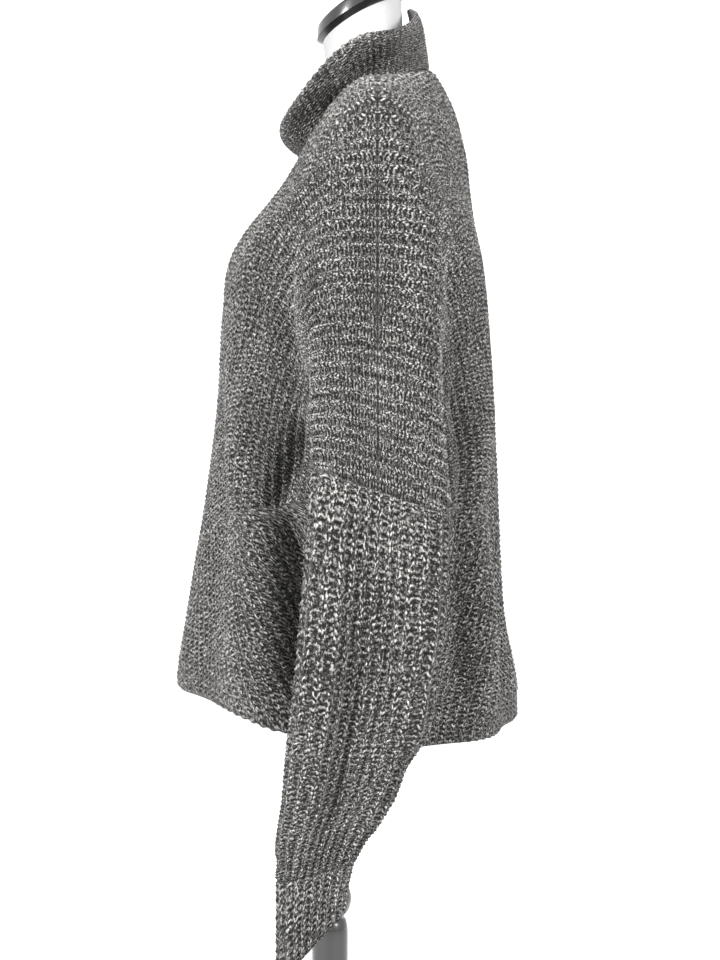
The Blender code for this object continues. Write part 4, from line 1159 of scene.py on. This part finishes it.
def yarn_material(name, rib_mm, fleck):
    """Marled wool in rib knit: u counts ribs, v counts courses, relief is the rib's height."""
    n = Nodes(name)
    uv = n.tree.nodes.new("ShaderNodeUVMap")
    uv.uv_map = "knit"
    u, v, _ = n.split(uv.outputs[0])
    relief_node = n.tree.nodes.new("ShaderNodeAttribute")
    relief_node.attribute_name = "relief"
    relief = relief_node.outputs["Fac"]

    # knit legs lean to both sides of the rib's middle; purl rungs arch in the valley
    across = n.math("SUBTRACT", n.math("FRACT", n.add(u, 0.5)), 0.5)
    side = n.math("ABSOLUTE", across)
    crest = n.level(relief, 0.35, 0.65)
    leg_turn = n.add(v, n.mul(side, LEG_SLOPE))
    rung_turn = n.add(n.add(v, 0.5), n.mul(n.wave(n.add(u, 0.5)), RUNG_ARCH))
    leg = n.add(n.mul(n.wave(leg_turn), 0.5), 0.5)
    rung = n.add(n.mul(n.wave(rung_turn), 0.5), 0.5)
    middle = n.level(side, low=0.0, high=0.05)
    strand = n.blend(rung, n.mul(leg, middle), crest)

    # marl: plies of black, grey and cream fibre twisted together along the strand
    cells = rib_mm / fleck
    rows = COURSE * 1000 / fleck
    slanted = n.vector(n.mul(u, cells), n.mul(leg_turn, rows * 0.75), n.mul(crest, 3.0))
    fine = n.noise(slanted, scale=1.0, detail=3.0, roughness=0.62)
    level_rows = n.vector(n.mul(u, cells * 0.55), n.mul(rung_turn, rows * 1.2), 5.0)
    cross = n.noise(level_rows, scale=1.0, detail=2.0, roughness=0.6)
    marl = n.blend(cross, fine, crest)
    broad = n.noise(n.vector(u, n.mul(v, 0.4), 2.0), scale=0.22, detail=2.0, roughness=0.5)
    grains = n.vector(n.mul(u, cells * 1.5), n.mul(v, rows * 1.3), 9.0)
    pepper = n.noise(grains, scale=1.0, detail=2.0, roughness=0.55)
    shade = n.add(n.add(marl, n.around_half(pepper, PEPPER)), n.around_half(broad, PATCHES))
    # painted highlight: the marl pales on the strand's crests and darkens between them, where light and
    # shade fall
    shade = n.add(shade, n.around_half(strand, STRAND_CREST_HIGHLIGHT))
    # painted shade: the colour darkens with the knit's height, deepest in the rib valleys, on the inside and
    # between the strands, where shade falls
    painted_cavity_shade = n.add(VALLEY_PAINTED_SHADE, n.mul(relief, RIB_PAINTED_LIGHT))
    tone_with_painted_shade = n.mul(painted_cavity_shade, n.add(GAP_PAINTED_SHADE, n.mul(strand, STRAND_PAINTED_LIGHT)))
    n.put(n.shader.inputs["Base Color"], n.tint(n.ramp(shade, MARL), tone_with_painted_shade))
    n.put(n.shader.inputs["Roughness"], n.level(marl, low=0.3, high=0.7, out_low=0.97, out_high=0.82))
    n.shader.inputs["Specular IOR Level"].default_value = 0.22
    n.shader.inputs["Sheen Weight"].default_value = 0.35
    n.shader.inputs["Sheen Roughness"].default_value = 0.55
    n.shader.inputs["Sheen Tint"].default_value = (0.80, 0.79, 0.77, 1.0)

    ply = n.wave(n.add(n.mul(u, cells * 0.5), n.mul(v, -rows * 0.8)))
    hairs = n.vector(n.mul(u, cells * 3.0), n.mul(v, rows * 3.0), 4.0)
    fuzz = n.noise(hairs, scale=1.0, detail=2.0, roughness=0.6)
    height = n.add(n.add(strand, n.mul(ply, PLY_HEIGHT)), n.mul(fuzz, FUZZ_HEIGHT))
    n.bump(height, distance=0.0011, strength=0.9)
    return n.material


def jersey_material():
    """White cotton jersey drawn over the form."""
    n = Nodes("form_cover")
    x, y, z = n.split(n.place())
    around = n.mul(n.math("ARCTAN2", y, x), JERSEY_RADIUS / JERSEY_GAUGE)
    rows = n.mul(z, 1.0 / JERSEY_GAUGE)
    side = n.math("ABSOLUTE", n.math("SUBTRACT", n.math("FRACT", around), 0.5))
    leg = n.wave(n.add(rows, n.mul(side, 1.1)))
    wale = n.wave(around)
    blotch = n.noise(n.vector(x, y, z), scale=9.0, detail=3.0, roughness=0.55)
    # blotches are the cotton's uneven tone; the leg term is painted shade, darker in the grooves between the
    # stitch legs
    tone_with_painted_shade = n.add(n.add(0.96, n.around_half(blotch, 0.10)), n.mul(leg, 0.02))
    n.put(n.shader.inputs["Base Color"], n.tint(n.ramp(0.5, JERSEY), tone_with_painted_shade))
    n.put(n.shader.inputs["Roughness"], n.level(blotch, low=0.3, high=0.7, out_low=0.92, out_high=0.80))
    n.shader.inputs["Sheen Weight"].default_value = 0.2
    n.bump(n.add(leg, wale), distance=0.00025, strength=0.5)
    return n.material


def lacquer_material():
    """Black lacquered wood and metal, slightly uneven and finely worn."""
    n = Nodes("black_lacquer")
    place = n.place()
    haze = n.noise(place, scale=14.0, detail=4.0, roughness=0.6)
    specks = n.noise(place, scale=420.0, detail=2.0, roughness=0.5)
    n.put(n.shader.inputs["Base Color"], n.ramp(haze, LACQUER))
    n.put(n.shader.inputs["Roughness"], n.level(haze, low=0.3, high=0.75, out_low=0.20, out_high=0.38))
    n.shader.inputs["Coat Weight"].default_value = 0.4
    n.shader.inputs["Coat Roughness"].default_value = 0.12
    n.bump(n.add(n.mul(haze, 0.7), n.mul(specks, 0.3)), distance=0.0003, strength=0.25)
    return n.material


def studio_material(name, glow):
    """Plain white paper, lit a little from within so that it reads white."""
    n = Nodes(name)
    n.shader.inputs["Base Color"].default_value = (STUDIO_WHITE, STUDIO_WHITE, STUDIO_WHITE, 1.0)
    n.shader.inputs["Roughness"].default_value = 1.0
    n.shader.inputs["Specular IOR Level"].default_value = 0.0
    n.shader.inputs["Emission Color"].default_value = (1.0, 1.0, 1.0, 1.0)
    n.shader.inputs["Emission Strength"].default_value = glow
    return n.material


# ---- studio ----
def add_stage(name, points, faces, glow):
    """A white surface round the part, which lights it only by reflection."""
    mesh = bpy.data.meshes.new(name)
    mesh.from_pydata(points, [], faces)
    mesh.materials.append(studio_material(name + "_white", glow))
    obj = add_object(name, mesh)
    obj.visible_diffuse = False


def make_studio():
    """A floor and a tall round wall far from the part, the world's light and the lamps."""
    r = FLOOR_HALF
    add_stage("studio_floor", [(-r, -r, 0), (r, -r, 0), (r, r, 0), (-r, r, 0)], [(0, 1, 2, 3)], FLOOR_GLOW)
    n = BACKDROP_SIDES
    turns = [2 * math.pi * i / n for i in range(n)]
    points = [(BACKDROP_RADIUS * math.cos(a), BACKDROP_RADIUS * math.sin(a), z)
              for z in (0.0, BACKDROP_HEIGHT) for a in turns]
    faces = [(i, (i + 1) % n, n + (i + 1) % n, n + i) for i in range(n)]
    add_stage("studio_backdrop", points, faces, BACKDROP_GLOW)
    world = bpy.data.worlds.new("studio")
    world.use_nodes = True
    background = world.node_tree.nodes["Background"]
    background.inputs["Color"].default_value = (1.0, 1.0, 1.0, 1.0)
    background.inputs["Strength"].default_value = WORLD_STRENGTH
    bpy.context.scene.world = world
    for name, place, size, power in LIGHTS:
        light = bpy.data.lights.new(name, "AREA")
        light.shape = "DISK"
        light.size = size
        light.energy = power
        obj = add_object(name, light)
        obj.location = place
        aim(obj, LOOK_AT)


def aim(obj, target):
    """Turns a lamp towards a point."""
    way = np.array(target) - np.array(obj.location)
    azimuth = math.atan2(way[1], way[0])
    tilt = math.atan2(way[2], math.hypot(way[0], way[1]))
    obj.rotation_euler = (math.pi / 2 + tilt, 0.0, azimuth - math.pi / 2)


def make_camera():
    camera = bpy.data.cameras.new("camera")
    camera.sensor_fit = "AUTO"
    camera.sensor_width = SENSOR_WIDTH
    camera.lens = SENSOR_WIDTH * CAMERA_DISTANCE / VIEW_HEIGHT
    obj = add_object("camera", camera)
    obj.location = (CAMERA_DISTANCE, LOOK_AT[1], LOOK_AT[2])
    obj.rotation_euler = (math.pi / 2, 0.0, math.pi / 2)
    bpy.context.scene.camera = obj


def main():
    body_yarn = yarn_material("marled_yarn", RIB * 1000, FLECK)
    fine_yarn = yarn_material("marled_yarn_collar", FINE_RIB_MM, FLECK)
    for panel in ("front", "back"):
        make_panel(panel, body_yarn)
    for side in ("left", "right"):
        flip = side == "right"
        make_tube("sleeve_" + side, SLEEVE, sleeve_place(SLEEVE_RINGS), flip, body_yarn)
        make_tube("cuff_" + side, CUFF, sleeve_place(CUFF_RINGS), flip, body_yarn)
    make_tube("collar", COLLAR, collar_place, False, fine_yarn)
    make_form(jersey_material())
    lacquer = lacquer_material()
    make_cap(lacquer)
    make_stand(lacquer)
    make_studio()
    make_camera()
    bpy.context.scene.view_settings.view_transform = "Standard"


CLOTH = {"front": Panel("front"), "back": Panel("back")}
main()
